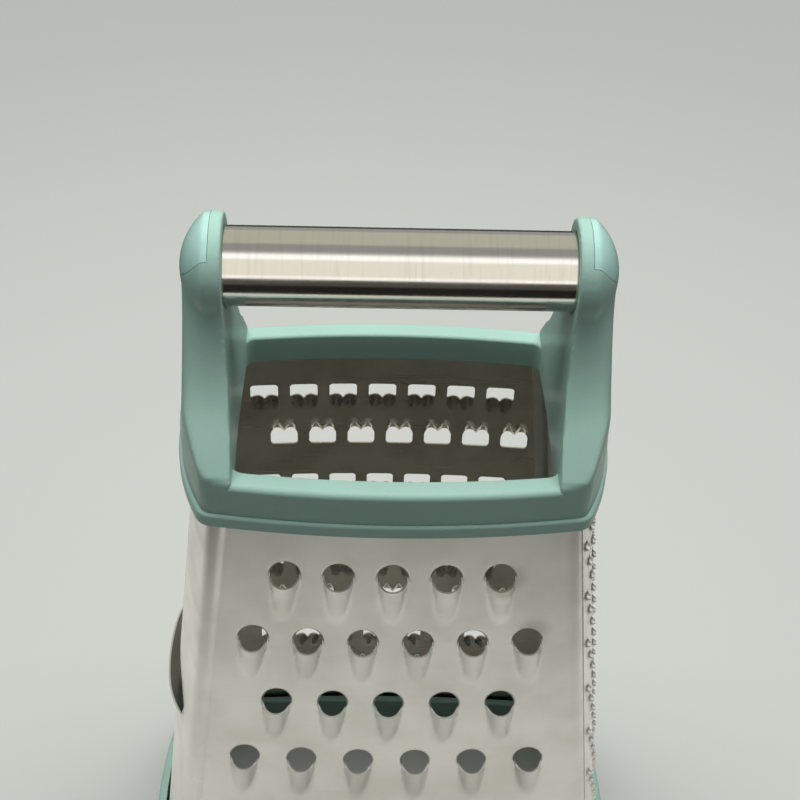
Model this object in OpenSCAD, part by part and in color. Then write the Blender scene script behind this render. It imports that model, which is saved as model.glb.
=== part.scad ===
// Four-sided box grater: a tapered body of four lapped steel sheets, a moulded top frame
// that carries a steel tube handle, and a moulded base ring on four grip strips.
// Millimetres, Z up. The origin is the middle of the plane that it stands on, X runs along
// the handle, and the coarse cutters face -Y.

/* [Steel body] */
// Height of the top frame's rim above the plane that the grater stands on
rim_h = 183; // [150:1:230]
// Width of the body between its corners, where it leaves the top frame
neck_w = 94; // [90:0.5:100]
// Depth of the body between its corners, where it leaves the top frame
neck_d = 61; // [60:0.5:66]
// Lean of the left and right sheets, in degrees
side_lean = 6; // [2:0.5:8]
// Lean of the front and back sheets, in degrees
face_lean = 4; // [1:0.5:6]
// How far the left and right sheets bow outwards
side_bow = 6.5; // [4:0.1:8]
// How far the front and back sheets bow outwards
face_bow = 2.6; // [1.5:0.1:3.5]
// Corner radius of the body
corner_r = 3; // [2.5:0.5:3.5]
// Thickness of the steel sheet
sheet_t = 0.5; // [0.4:0.05:0.7]
// Distance from a corner to the raw edge of the sheet that laps over it
seam_in = 4.5; // [4:0.5:8]
// Width of the flange under each lap
lap_w = 2.5; // [2:0.5:8]
// How far the sheets reach up into the top frame
tuck_h = 9.5; // [8:0.1:10]

/* [Top frame] */
// Width of the opening in the top frame
opening_w = 82; // [76:1:84]
// Depth of the opening at its ends
opening_d = 54.6; // [50:0.2:55]
// How far the opening's long edges bow outwards
opening_bow = 2.8; // [1:0.1:3.2]
// How far the opening's short edges bow outwards
opening_side_bow = 0.6; // [0.3:0.1:1.5]
// Corner radius of the opening
opening_r = 3; // [2:0.5:6]
// Width of the frame over its lip, between the corners
lip_w = 98.8; // [96:0.2:110]
// Depth of the frame over its lip, between the corners
lip_d = 66.4; // [65:0.2:80]
// How far the lip's long edges bow outwards
lip_bow = 4; // [3:0.1:5]
// How far the lip's short edges bow outwards
lip_side_bow = 7.9; // [6:0.1:9]
// Corner radius of the lip
lip_r = 5; // [4:0.5:8]
// Height of the whole frame below the arms
collar_h = 13.7; // [13:0.1:18]
// Height of the lip's outer band
lip_h = 4; // [2:0.1:5]
// How far the lip stands proud of the wall above it
lip_proud = 0.8; // [0.4:0.1:1.5]
// Size of the soft edge along the frame's top
rim_soft = 1.5; // [0.5:0.1:2.5]
// Height of the skirt inside the opening, below the rim
skirt_h = 8.5; // [7:0.1:9]
// Thickness of that skirt
skirt_t = 1.3; // [1:0.1:1.5]

/* [Arms] */
// Height of the handle's axis above the rim
grip_rise = 43.5; // [38:0.5:60]
// Radius of the round heads that hold the tube
head_r = 13.5; // [13:0.1:16]
// Distance from the middle to the outermost point of a head
head_reach = 53.8; // [53:0.1:56]
// Radius of the dome over each head
dome_r = 17.5; // [16:0.5:24]
// Half depth of an arm at its neck
neck_half = 12.6; // [11:0.1:12.8]
// Radius of the arm's sweep from its neck towards its foot
sweep_r = 40; // [38:0.5:48]
// Height of the neck above the rim
neck_rise = 39; // [36:0.5:41]
// Lean of the foot's edges where the sweep ends, in degrees
foot_turn = 42; // [34:1:45]
// How much closer together the arms stand at their feet than at their heads, each side
arm_lean = 2.25; // [0:0.05:3]
// How far the arms lie inside the outermost points of the heads
arm_set = 0.4; // [0.2:0.1:2]
// How much farther apart the arms' outer faces stand at their feet, each side
arm_flare = 2.8; // [0:0.1:2.8]

/* [Handle] */
// Length of the tube that shows between the arms
grip_l = 86.5; // [80:0.5:90]
// Outer diameter of the tube
tube_d = 20; // [18:0.1:21]
// Wall of the tube
tube_wall = 0.8; // [0.5:0.1:1.5]
// How far the tube enters each head
socket_depth = 4; // [3:0.1:4.5]
// Thickness of the web at the bottom of each socket
web_t = 1.7; // [1.5:0.1:2]
// Length of the plug inside each end of the tube
plug_l = 16; // [10:0.5:30]
// Distance from the tube's mouth to the joint line of the end cap
cap_line = 3.2; // [2.5:0.1:3.5]
// Wall of the end cap
cap_wall = 1.4; // [1.2:0.1:1.6]
// Radius of the end cap's round lower edge
cap_edge_r = 11; // [10.8:0.1:12]
// How far the end cap's lowest point lies below the tube's axis
cap_low = 0.5; // [0.4:0.1:2]
// Height of the handle screw above the tube's axis
screw_rise = 3; // [2.8:0.1:3.2]
// Diameter of the handle screw's shank
screw_d = 3.5; // [3:0.1:4.5]
// Length of the handle screw's shank
screw_l = 14; // [10:0.5:20]
// Diameter of the handle screw's head
screw_head_d = 6.4; // [5.5:0.1:6.4]
// Height of the handle screw's head
screw_head_h = 1.8; // [1.2:0.1:1.9]

/* [Base ring] */
// Height of the base ring
ring_h = 13; // [11:0.5:20]
// Wall of the ring outside the sheets
ring_wall = 2.8; // [2:0.1:4]
// Wall of the ring inside the sheets
ring_inner = 2.4; // [2:0.1:4]
// Floor of the ring under the sheets
ring_floor = 4; // [3.5:0.1:6]
// Width of a grip strip
strip_w = 3.4; // [3:0.1:3.6]
// Height of a grip strip
strip_h = 2.8; // [2:0.1:3.2]
// How far the grip strips stand below the ring
strip_proud = 0.8; // [0.5:0.1:1.2]
// Length of the front and back grip strips
long_strip_l = 64; // [40:1:70]
// Length of the left and right grip strips
short_strip_l = 40; // [24:1:46]

/* [Coarse cutters] */
// Number of rows on the front
coarse_rows = 6; // [1:1:6]
// Cutters in the upper row and every second row after it
coarse_n = 5; // [3:1:5]
// Depth of the upper row below the rim
coarse_drop = 31.6; // [28:0.1:36]
// Height of the lowest row above the floor
coarse_foot = 35.4; // [32:0.1:44]
// Spacing within a row where the body leaves the frame
coarse_pitch = 13.6; // [13:0.1:15]
// Half width of a cutter's hood
coarse_half = 4.9; // [4:0.1:5.2]
// How far a hood stands proud
coarse_proud = 3.2; // [2:0.1:3.6]
// Length of a hood
coarse_l = 14; // [11:0.5:16]
// How far the cutting edge hangs below the middle of its hole
coarse_dip = 2.4; // [1.5:0.1:3]

/* [Ribbon cutters] */
// Number of rows on the back
ribbon_rows = 8; // [1:1:8]
// Cutters in a row
ribbon_n = 7; // [3:1:7]
// Depth of the upper row below the rim
ribbon_drop = 22.6; // [20:0.1:26]
// Height of the lowest row above the floor
ribbon_foot = 30.2; // [27:0.1:40]
// Spacing within a row
ribbon_pitch = 11.4; // [10.5:0.1:12]
// Shift of every second row
ribbon_shift = 5.4; // [0:0.1:5.6]
// Width of a slot
slot_w = 8; // [7:0.1:9]
// Height of a slot
slot_h = 5.5; // [4:0.1:6]
// How far the double arches stand proud
arch_proud = 1.5; // [1:0.1:2]
// Length of an arch
arch_l = 4.6; // [3:0.1:6]

/* [Fine cutters] */
// Number of rows on the right
fine_rows = 16; // [1:1:16]
// Cutters in the upper row and every second row after it
fine_n = 6; // [3:1:7]
// Depth of the upper row below the rim
fine_drop = 20; // [18:0.5:26]
// Height of the lowest row above the floor
fine_foot = 28; // [24:0.5:50]
// Spacing within a row where the body leaves the frame
fine_pitch = 7.6; // [6.5:0.1:8]
// Base diameter of a punched point
fine_d = 3.2; // [2.5:0.1:3.6]
// Height of a punched point
fine_h = 1.2; // [0.8:0.1:1.6]
// Diameter of the hole through it
fine_hole_d = 1.1; // [0.8:0.1:1.4]

/* [Slicer] */
// Depth of the slicing edge below the rim
slicer_drop = 98; // [80:1:110]
// Length of the slicing edge
slicer_w = 50; // [40:1:56]
// How far the edge stands proud of the sheet
slicer_proud = 3; // [2:0.1:4]
// Height of the slot above the edge
slicer_gap = 3.4; // [2.5:0.1:5]
// Height over which the blade falls back to the sheet
slicer_l = 15; // [12:0.5:20]

/* [Hidden] */
$fn = 96;
// Sides of the slicer's long shallow arc, of the small cutters and of the punched points
arc_fn = 360;
cutter_fn = 32;
point_fn = 16;
// Flats along each bowed side of an outline, and round each of its corners
bow_steps = 16;
round_steps = 5;

// Clearance between pieces that fit each other, between lapped sheets, and the cuts' overrun
fit = 0.15;
lap_gap = 0.05;
over = 1;

// Heights that several pieces share
lip_z = rim_h - collar_h;
skirt_z = rim_h - skirt_h;
sheet_top = lip_z + tuck_h;
ring_z = strip_proud;
ring_top = ring_z + ring_h;
sheet_bot = ring_z + ring_floor;
axis_z = rim_h + grip_rise;
half_grip = grip_l / 2;
cap_x = half_grip + cap_line;
socket_x = half_grip + socket_depth;
web_x = socket_x + web_t;
boss_r = tube_d / 2 + (head_r - tube_d / 2) / 2;

// Half width and half depth of the body between its corners, at a height
function half_w(z) = neck_w / 2 + (lip_z - z) * tan(side_lean);
function half_d(z) = neck_d / 2 + (lip_z - z) * tan(face_lean);

// A closed outline of four outward arcs and four round corners
function arc_r(half, bow) = (half * half + bow * bow) / (2 * bow);
function corner_centre(w, d, bow, side, r) =
    let (r1 = arc_r(w / 2, bow), r2 = arc_r(d / 2, side),
        c1 = [0, d / 2 + bow - r1], c2 = [w / 2 + side - r2, 0],
        a = r1 - r, b = r2 - r, gap = norm(c2 - c1), u = (c2 - c1) / gap,
        along = (a * a - b * b + gap * gap) / (2 * gap), up = sqrt(a * a - along * along))
    c1 + u * along + [u[1], -u[0]] * up;

function arc_points(c, r, from, to, steps) = [for (i = [0:steps - 1])
    let (a = from + (to - from) * i / steps) [c[0] + r * cos(a), c[1] + r * sin(a)]];

module bowed_outline(w, d, bow, side, r) {
    r1 = arc_r(w / 2, bow);
    r2 = arc_r(d / 2, side);
    c1 = [0, d / 2 + bow - r1];
    c2 = [w / 2 + side - r2, 0];
    c = corner_centre(w, d, bow, side, r);
    a1 = atan2(c[1] - c1[1], c[0]);
    a2 = atan2(c[1], c[0] - c2[0]);
    polygon(concat(
        arc_points(c2, r2, -a2, a2, bow_steps),
        arc_points(c, r, a2, a1, round_steps),
        arc_points(c1, r1, a1, 180 - a1, bow_steps),
        arc_points([-c[0], c[1]], r, 180 - a1, 180 - a2, round_steps),
        arc_points(-c2, r2, 180 - a2, 180 + a2, bow_steps),
        arc_points(-c, r, 180 + a2, 180 + a1, round_steps),
        arc_points(-c1, r1, 180 + a1, 360 - a1, bow_steps),
        arc_points([c[0], -c[1]], r, 360 - a1, 360 - a2, round_steps)));
}

// The lip's outline drawn in by a distance
module lip_outline(inset = 0) {
    bowed_outline(lip_w - 2 * inset, lip_d - 2 * inset, lip_bow, lip_side_bow, lip_r - inset);
}

// The opening's outline grown by a distance
module opening_outline(grow = 0) {
    bowed_outline(opening_w + 2 * grow, opening_d + 2 * grow, opening_bow, opening_side_bow,
        opening_r + grow);
}

// The outer face of the sheets at a height, grown by a distance, and its smallest corner radius
least_r = 1;
module body_outline(z, grow = 0) {
    bowed_outline(2 * half_w(z) + 2 * grow, 2 * half_d(z) + 2 * grow, face_bow, side_bow,
        max(corner_r + grow, least_r));
}

// Sheets. Each runs from its raw edge along its own face, round one corner and under the next
// sheet. It is drawn as the front one, and turned by quarter turns for the others.
face_steps = 12;
coarse_face_steps = 16;
corner_steps = 5;

// A face's line at half width a, distance b and bow, and the turn from it into the next face
function face_y(x, a, b, bow) = -(b + bow * (1 - x * x / (a * a)));
function sheet_line(a, b, bow, next, steps) =
    let (x0 = -(a - seam_in), x1 = a - corner_r, y2 = -(b - corner_r),
        p0 = [x1, face_y(x1, a, b, bow)], m0 = 2 * bow * x1 / (a * a),
        p2 = [-face_y(y2, b, a, next), y2], m2 = -2 * next * y2 / (b * b),
        t = (p2[0] - p0[0] - m2 * (p2[1] - p0[1])) / (1 - m0 * m2),
        p1 = p0 + t * [1, m0], y3 = -(b - seam_in + fit), y4 = -(b - seam_in - lap_w))
    concat(
        [for (i = [0:steps - 1]) let (x = x0 + (x1 - x0) * i / steps)
            [x, face_y(x, a, b, bow), 0]],
        [for (i = [0:corner_steps]) let (s = i / corner_steps,
            p = (1 - s) * (1 - s) * p0 + 2 * s * (1 - s) * p1 + s * s * p2) [p[0], p[1], 0]],
        [for (y = [y3, (y3 + y4) / 2, y4]) [-face_y(y, b, a, next), y, sheet_t + lap_gap]]);
function line_normal(p, i) =
    let (q = p[min(i + 1, len(p) - 1)] - p[max(i - 1, 0)], n = norm([q[0], q[1]]))
    [q[1], -q[0]] / n;
function sheet_ring(p, depth) =
    [for (i = [0:len(p) - 1]) [p[i][0], p[i][1]] - (p[i][2] + depth) * line_normal(p, i)];
function lift(ring, z) = [for (p = ring) [p[0], p[1], z]];

// Half width, distance, bow and next bow of a sheet at a height: a front or back one, or a side
function sheet_at(z, is_face, steps) = is_face
    ? sheet_line(half_w(z), half_d(z), face_bow, side_bow, steps)
    : sheet_line(half_d(z), half_w(z), side_bow, face_bow, steps);

module plain_sheet(is_face, steps = face_steps) {
    low = sheet_at(sheet_bot, is_face, steps);
    top = sheet_at(sheet_top, is_face, steps);
    n = len(low);
    pts = concat(lift(sheet_ring(low, 0), sheet_bot), lift(sheet_ring(low, sheet_t), sheet_bot),
        lift(sheet_ring(top, 0), sheet_top), lift(sheet_ring(top, sheet_t), sheet_top));
    quads = concat(
        [for (i = [0:n - 2]) [i, i + 1, 2 * n + i + 1, 2 * n + i]],
        [for (i = [0:n - 2]) [n + i + 1, n + i, 3 * n + i, 3 * n + i + 1]],
        [for (i = [0:n - 2]) [i + 1, i, n + i, n + i + 1]],
        [for (i = [0:n - 2]) [2 * n + i, 2 * n + i + 1, 3 * n + i + 1, 3 * n + i]],
        [[0, 2 * n, 3 * n, n], [n - 1, 2 * n - 1, 4 * n - 1, 3 * n - 1]]);
    polyhedron(pts, [for (q = quads, k = [0, 1]) k == 0 ? [q[2], q[1], q[0]] : [q[3], q[2], q[0]]],
        convexity = 6);
}

// Puts a cutter, drawn with Z up and -Y outwards, on a sheet's outer face
module on_sheet(x, z, is_face) {
    a = is_face ? half_w(z) : half_d(z);
    b = is_face ? half_d(z) : half_w(z);
    bow = is_face ? face_bow : side_bow;
    lean = is_face ? face_lean : side_lean;
    translate([x, face_y(x, a, b, bow), z]) rotate([0, 0, atan(2 * bow * x / (a * a))])
        rotate([-lean, 0, 0]) children();
}

// Windows in the front and back sheets, which the frame's and the ring's noses snap into
nose_w = 7;
nose_h = 1.2;
nose_x = 25;
window_slack = 0.4;
top_nose_z = (skirt_z + sheet_top) / 2 - nose_h / 2;
low_nose_z = (sheet_bot + ring_top) / 2;
module windows() {
    for (x = [-nose_x, nose_x], z = [top_nose_z, low_nose_z]) on_sheet(x, z, true)
        cube([nose_w + 2 * window_slack, 4 * over, nose_h + 2 * window_slack], center = true);
}

// Distance between the rows of a sheet, from its upper row to its lowest
function row_step(rows, drop, foot) = (rim_h - drop - foot) / max(1, rows - 1);
coarse_step = row_step(coarse_rows, coarse_drop, coarse_foot);
ribbon_step = row_step(ribbon_rows, ribbon_drop, ribbon_foot);
fine_step = row_step(fine_rows, fine_drop, fine_foot);

// Coarse cutters: a hood cut from a round bar that leans into the sheet, and a round hole
coarse_r = arc_r(coarse_half, coarse_proud);
coarse_fall = atan(coarse_proud / coarse_l);
coarse_tilt = atan(coarse_dip / coarse_proud);
// Places of the coarse cutters, which fan out as the body widens
coarse_places = [for (row = [0:coarse_rows - 1]) let (z = rim_h - coarse_drop - row * coarse_step,
    n = coarse_n + row % 2, pitch = coarse_pitch * half_w(z) / half_w(lip_z))
    for (i = [0:n - 1]) [(i - (n - 1) / 2) * pitch, z]];

module coarse_bar(wall) {
    rotate([coarse_fall, 0, 0]) translate([0, coarse_r - coarse_proud, -2 * coarse_l])
        cylinder(h = 3 * coarse_l, r = coarse_r - wall, $fn = cutter_fn);
}

module coarse_hood() {
    reach = 2 * coarse_r;
    difference() {
        coarse_bar(0);
        coarse_bar(sheet_t);
        translate([-reach, sheet_t - lap_gap, -3 * coarse_l])
            cube([2 * reach, 2 * reach, 5 * coarse_l]);
        rotate([coarse_tilt, 0, 0]) translate([-reach, -reach, 0])
            cube([2 * reach, 2 * reach, 2 * coarse_l]);
    }
}

module coarse_void() {
    intersection() {
        coarse_bar(sheet_t);
        translate([-coarse_r, -coarse_r, -coarse_l]) cube([2 * coarse_r, 2 * coarse_r, coarse_l]);
    }
    intersection() {
        rotate([90, 0, 0]) cylinder(h = 4 * over, r = coarse_half - sheet_t / 2, center = true,
            $fn = cutter_fn);
        translate([-coarse_half, -2 * over, -sheet_t])
            cube([2 * coarse_half, 4 * over, coarse_half + over]);
    }
}

// Ribbon cutters: a slot with two small arches along one of its long edges. A cutter is drawn
// with that edge at zero, and is set and mirrored about the slot's middle.
arch_half = slot_w / 4;
arch_rr = arc_r(arch_half, arch_proud);
arch_tip_share = 0.45;
ribbon_places = [for (row = [0:ribbon_rows - 1]) let (z = rim_h - ribbon_drop - row * ribbon_step,
    shift = (row % 2 == 0 ? 1 : -1) * ribbon_shift / 2)
    for (i = [0:ribbon_n - 1]) [(i - (ribbon_n - 1) / 2) * ribbon_pitch + shift, z, row % 2]];

module on_ribbon_row(p) {
    on_sheet(p[0], p[1], true) mirror([0, 0, p[2]]) translate([0, 0, -slot_h / 2]) children();
}

module arch_cone(wall) {
    translate([0, arch_rr - arch_proud, -arch_l])
        cylinder(h = arch_l, r1 = arch_rr * arch_tip_share - wall, r2 = arch_rr - wall, $fn = cutter_fn);
}

module ribbon_arches() {
    reach = 2 * slot_w;
    difference() {
        for (s = [-1, 1]) translate([s * arch_half, 0, 0]) arch_cone(0);
        for (s = [-1, 1]) translate([s * arch_half, 0, 0]) arch_cone(sheet_t);
        translate([-reach, sheet_t - lap_gap, -arch_l - over]) cube([2 * reach, reach, 2 * arch_l]);
    }
}

module ribbon_void() {
    translate([-slot_w / 2, -2 * over, -sheet_t]) cube([slot_w, 4 * over, slot_h + sheet_t]);
    for (s = [-1, 1]) translate([s * arch_half, 0, 0]) arch_cone(sheet_t);
}

// Fine cutters: punched points with a hole
fine_places = [for (row = [0:fine_rows - 1]) let (z = rim_h - fine_drop - row * fine_step,
    n = fine_n + row % 2, pitch = fine_pitch * half_d(z) / half_d(lip_z))
    for (i = [0:n - 1]) [(i - (n - 1) / 2) * pitch, z]];

// Slicer: a wide lip cut from two leaning cylinders, with its edge upwards
slicer_floor_share = 0.35;
slicer_z = rim_h - slicer_drop;
slicer_a = half_d(slicer_z);
slicer_sag = side_bow * slicer_w * slicer_w / (4 * slicer_a * slicer_a);
slicer_r = arc_r(slicer_w / 2, slicer_proud + slicer_sag);
slicer_tilt = atan(slicer_proud / slicer_l);
module slicer_drum(wall) {
    rotate([slicer_tilt, 0, 0]) translate([0, slicer_r - slicer_proud, -2 * slicer_l])
        cylinder(h = 4 * slicer_l, r = slicer_r - wall, $fn = arc_fn);
}
module slicer_lip() {
    intersection() {
        difference() {
            slicer_drum(0);
            slicer_drum(sheet_t);
        }
        translate([-slicer_w / 2, -2 * slicer_proud, -slicer_l])
            cube([slicer_w, 2 * slicer_proud + slicer_sag + sheet_t, slicer_l]);
    }
}
module slicer_slot() {
    depth = 2 * slicer_proud + slicer_sag + over;
    translate([-slicer_w / 2 + sheet_t, -depth, -slicer_l * (1 - slicer_floor_share)])
        cube([slicer_w - 2 * sheet_t, 2 * depth, slicer_l * (1 - slicer_floor_share) + slicer_gap]);
}

module coarse_panel() {
    color("#c9c9c4") {
        difference() {
            plain_sheet(true, coarse_face_steps);
            for (p = coarse_places) on_sheet(p[0], p[1], true) coarse_void();
            windows();
        }
        for (p = coarse_places) on_sheet(p[0], p[1], true) coarse_hood();
    }
}

module ribbon_panel() {
    color("#a9aaa6") rotate([0, 0, 180]) {
        difference() {
            plain_sheet(true);
            for (p = ribbon_places) on_ribbon_row(p) ribbon_void();
            windows();
        }
        for (p = ribbon_places) on_ribbon_row(p) ribbon_arches();
    }
}

module fine_panel() {
    color("#bcbdb9") rotate([0, 0, 90]) {
        difference() {
            union() {
                plain_sheet(false);
                for (p = fine_places) on_sheet(p[0], p[1], false) translate([0, sheet_t / 2, 0])
                    rotate([90, 0, 0]) cylinder(h = fine_h + sheet_t / 2, r1 = fine_d / 2,
                        r2 = fine_hole_d, $fn = point_fn);
            }
            for (p = fine_places) on_sheet(p[0], p[1], false)
                rotate([90, 0, 0]) cylinder(h = 2 * (fine_h + over), r = fine_hole_d / 2, center = true,
                    $fn = point_fn);
        }
    }
}

module slicer_panel() {
    color("#c3c4c0") rotate([0, 0, 270]) {
        difference() {
            plain_sheet(false);
            on_sheet(0, slicer_z, false) slicer_slot();
        }
        on_sheet(0, slicer_z, false) slicer_lip();
    }
}

// Arms: sections stacked up the arm, each a flat inner face and a rounded outer one
arm_level_shares = [-0.07, 0.06, 0.15, 0.24, 0.34, 0.45, 0.56, 0.68, 0.8, 0.9, 1];
arm_steps = 16;
arm_round_low = 3.6;
arm_round_top = 2.4;
function arm_half(rise) =
    let (down = max(0, neck_rise - rise), arc = min(down, sweep_r * sin(foot_turn)))
    neck_half + sweep_r - sqrt(sweep_r * sweep_r - arc * arc) + (down - arc) * tan(foot_turn);
function arm_inner(rise) = half_grip - arm_lean * (1 - min(1, max(0, rise / neck_rise)));
function arm_outer(rise) = head_reach - arm_set
    + arm_flare * cos(90 * min(1, max(0, rise / grip_rise)));
function power(v, e) = sign(v) * pow(abs(v), e);
function arm_section(rise, z) =
    let (half = arm_half(rise), x0 = arm_inner(rise), deep = arm_outer(rise) - x0,
        e = 2 / (arm_round_low + (arm_round_top - arm_round_low) * min(1, max(0, rise / neck_rise))))
    concat([for (i = [0:arm_steps]) let (q = -90 + 180 * i / arm_steps)
        [x0 + deep * power(cos(q), e), half * power(sin(q), e), z]]);
// How far the arms' feet stand inside the collar's wall
arm_step = 0.25;
module arm_column() {
    n = arm_steps + 1;
    levels = len(arm_level_shares);
    pts = [for (s = arm_level_shares) each arm_section(s * grip_rise, rim_h + s * grip_rise)];
    walls = [for (k = [0:levels - 2], i = [0:n - 1]) let (j = (i + 1) % n)
        each [[k * n + j, k * n + i, (k + 1) * n + i], [(k + 1) * n + j, k * n + j, (k + 1) * n + i]]];
    ends = [for (i = [1:n - 2]) each [[0, i, i + 1],
        [(levels - 1) * n, (levels - 1) * n + i + 1, (levels - 1) * n + i]]];
    polyhedron(pts, concat(walls, ends), convexity = 6);
}
module along_x(x) {
    translate([x, 0, axis_z]) rotate([0, 90, 0]) children();
}
// The right arm and its head, before anything is cut from it
module arm_body() {
    intersection() {
        along_x(half_grip) cylinder(h = head_reach - half_grip, r = head_r);
        along_x(head_reach - dome_r) sphere(r = dome_r);
    }
    intersection() {
        arm_column();
        translate([0, 0, rim_h - 2 * rim_soft]) linear_extrude(2 * grip_rise)
            lip_outline(lip_proud + arm_step);
    }
}
// The seat that the end cap fills: the head's upper part, down to the cap's round lower edge
module cap_seat(gap) {
    along_x(cap_x + gap) intersection() {
        cylinder(h = 2 * head_reach, r = head_r - gap);
        translate([cap_low - cap_edge_r, 0, 0]) cylinder(h = 2 * head_reach, r = cap_edge_r - gap);
    }
}
module along_screw(x) {
    translate([0, 0, screw_rise]) along_x(x) children();
}
module socket_boss() {
    along_x(half_grip) cylinder(h = web_x - half_grip, r = boss_r);
}
module frame_arm() {
    difference() {
        union() {
            difference() {
                arm_body();
                cap_seat(0);
            }
            socket_boss();
        }
        along_x(half_grip - over) cylinder(h = socket_depth + over, r = tube_d / 2 + fit);
        along_screw(half_grip) cylinder(h = head_reach, r = screw_d / 2 + fit);
    }
}
module frame_collar() {
    translate([0, 0, lip_z]) linear_extrude(lip_h) lip_outline();
    translate([0, 0, lip_z]) linear_extrude(collar_h - rim_soft) lip_outline(lip_proud);
    translate([0, 0, lip_z]) linear_extrude(collar_h) lip_outline(lip_proud + rim_soft);
}
// A nose that points outwards from the wall inside the front sheet
module frame_nose(x) {
    y = face_y(x, half_w(top_nose_z), half_d(top_nose_z), face_bow);
    inner = opening_d / 2 + skirt_t / 2;
    translate([x - nose_w / 2, y, top_nose_z - nose_h / 2]) cube([nose_w, -y - inner, nose_h]);
}

module top_frame() {
    color("#8fc1b2") {
        difference() {
            union() {
                frame_collar();
                for (m = [0, 1]) mirror([m, 0, 0]) frame_arm();
            }
            translate([0, 0, lip_z - over]) linear_extrude(collar_h + 2 * over) opening_outline();
            translate([0, 0, lip_z - over]) linear_extrude(skirt_z - lip_z + over)
                body_outline(lip_z, fit);
            translate([0, 0, lip_z - over]) linear_extrude(tuck_h + fit + over) difference() {
                body_outline(lip_z, fit);
                opening_outline(skirt_t);
            }
        }
        for (m = [0, 1], x = [-nose_x, nose_x]) mirror([0, m, 0]) frame_nose(x);
    }
}

module handle_tube() {
    color("#b9b6ae") along_x(-(socket_x - fit)) difference() {
        cylinder(h = 2 * (socket_x - fit), r = tube_d / 2);
        translate([0, 0, -over]) cylinder(h = 2 * (socket_x + over), r = tube_d / 2 - tube_wall);
    }
}

module right_plug() {
    plug_x = socket_x - fit - plug_l;
    difference() {
        along_x(plug_x) cylinder(h = plug_l, r = tube_d / 2 - tube_wall - lap_gap);
        along_screw(plug_x - over) cylinder(h = plug_l + 2 * over, r = screw_d / 2 + lap_gap);
    }
}
module left_tube_plug() {
    color("#e8e8e2") mirror([1, 0, 0]) right_plug();
}
module right_tube_plug() {
    color("#e8e8e2") right_plug();
}

// Width across the screw's cross slot, its arms' width and its depth, as shares of the head
slot_across_share = 0.6;
slot_arm_share = 0.16;
slot_depth_share = 0.5;
module right_screw() {
    along_screw(web_x - screw_l) cylinder(h = screw_l, r = screw_d / 2);
    difference() {
        along_screw(web_x) cylinder(h = screw_head_h, r = screw_head_d / 2);
        for (turn = [0, 90]) along_screw(web_x + screw_head_h) rotate([0, 0, turn])
            cube([screw_head_d * slot_across_share, screw_head_d * slot_arm_share,
                2 * screw_head_h * slot_depth_share], center = true);
    }
}
module left_handle_screw() {
    color("#8d9093") mirror([1, 0, 0]) right_screw();
}
module right_handle_screw() {
    color("#8d9093") right_screw();
}

module right_cap() {
    difference() {
        intersection() {
            arm_body();
            cap_seat(fit);
        }
        along_x(half_grip) cylinder(h = web_x + fit - half_grip, r = boss_r + fit);
        intersection() {
            along_x(half_grip) cylinder(h = head_reach, r = boss_r - cap_wall);
            along_x(head_reach - dome_r) sphere(r = dome_r - cap_wall);
        }
    }
}
module left_end_cap() {
    color("#93c6b8") mirror([1, 0, 0]) right_cap();
}
module right_end_cap() {
    color("#93c6b8") right_cap();
}

// Base ring, in which the sheets stand, and the strips in its underside
strip_gap = 0.1;
strip_depth = strip_h - strip_proud;
ring_mid_w = half_w(sheet_bot) + (ring_wall - ring_inner) / 2 - sheet_t / 2;
ring_mid_d = half_d(sheet_bot) + (ring_wall - ring_inner) / 2 - sheet_t / 2;
// A strip under the front of the ring, or under its right side, grown by a gap
module front_strip(gap) {
    y = face_y(long_strip_l / 4, half_w(sheet_bot), ring_mid_d, face_bow);
    translate([-long_strip_l / 2 - gap, y - strip_w / 2 - gap, 0])
        cube([long_strip_l + 2 * gap, strip_w + 2 * gap, strip_h + gap]);
}
module side_strip(gap) {
    x = -face_y(short_strip_l / 4, half_d(sheet_bot), ring_mid_w, side_bow);
    translate([x - strip_w / 2 - gap, -short_strip_l / 2 - gap, 0])
        cube([strip_w + 2 * gap, short_strip_l + 2 * gap, strip_h + gap]);
}
// A nose that points inwards from the ring's outer wall, through the front sheet
module ring_nose(x) {
    y = face_y(x, half_w(low_nose_z), half_d(low_nose_z), face_bow);
    translate([x - nose_w / 2, y - ring_wall / 2, low_nose_z - nose_h / 2])
        cube([nose_w, ring_wall / 2 + sheet_t, nose_h]);
}

module base_ring() {
    color("#8fc1b2") {
        difference() {
            translate([0, 0, ring_z]) linear_extrude(ring_h) body_outline(sheet_bot, ring_wall);
            translate([0, 0, ring_z - over]) linear_extrude(ring_h + 2 * over)
                body_outline(ring_top, -ring_inner - 2 * sheet_t - lap_gap - fit);
            translate([0, 0, sheet_bot]) linear_extrude(ring_h) difference() {
                body_outline(sheet_bot, fit);
                body_outline(ring_top, -2 * sheet_t - lap_gap - fit);
            }
            for (m = [0, 1]) {
                mirror([0, m, 0]) front_strip(strip_gap);
                mirror([m, 0, 0]) side_strip(strip_gap);
            }
        }
        for (m = [0, 1], x = [-nose_x, nose_x]) mirror([0, m, 0]) ring_nose(x);
    }
}

module front_grip_strip() {
    color("#5f6664") front_strip(0);
}
module back_grip_strip() {
    color("#5f6664") mirror([0, 1, 0]) front_strip(0);
}
module left_grip_strip() {
    color("#5f6664") mirror([1, 0, 0]) side_strip(0);
}
module right_grip_strip() {
    color("#5f6664") side_strip(0);
}

top_frame();
handle_tube();
left_tube_plug();
right_tube_plug();
left_handle_screw();
right_handle_screw();
left_end_cap();
right_end_cap();
coarse_panel();
fine_panel();
ribbon_panel();
slicer_panel();
base_ring();
front_grip_strip();
back_grip_strip();
left_grip_strip();
right_grip_strip();
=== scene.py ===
"""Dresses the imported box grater: a moulded frame, a brushed handle, four cutting sheets and a ring."""

import sys

import logging
import math
from dataclasses import dataclass
from enum import Enum
from functools import cache
from typing import Iterable, Sequence

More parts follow.
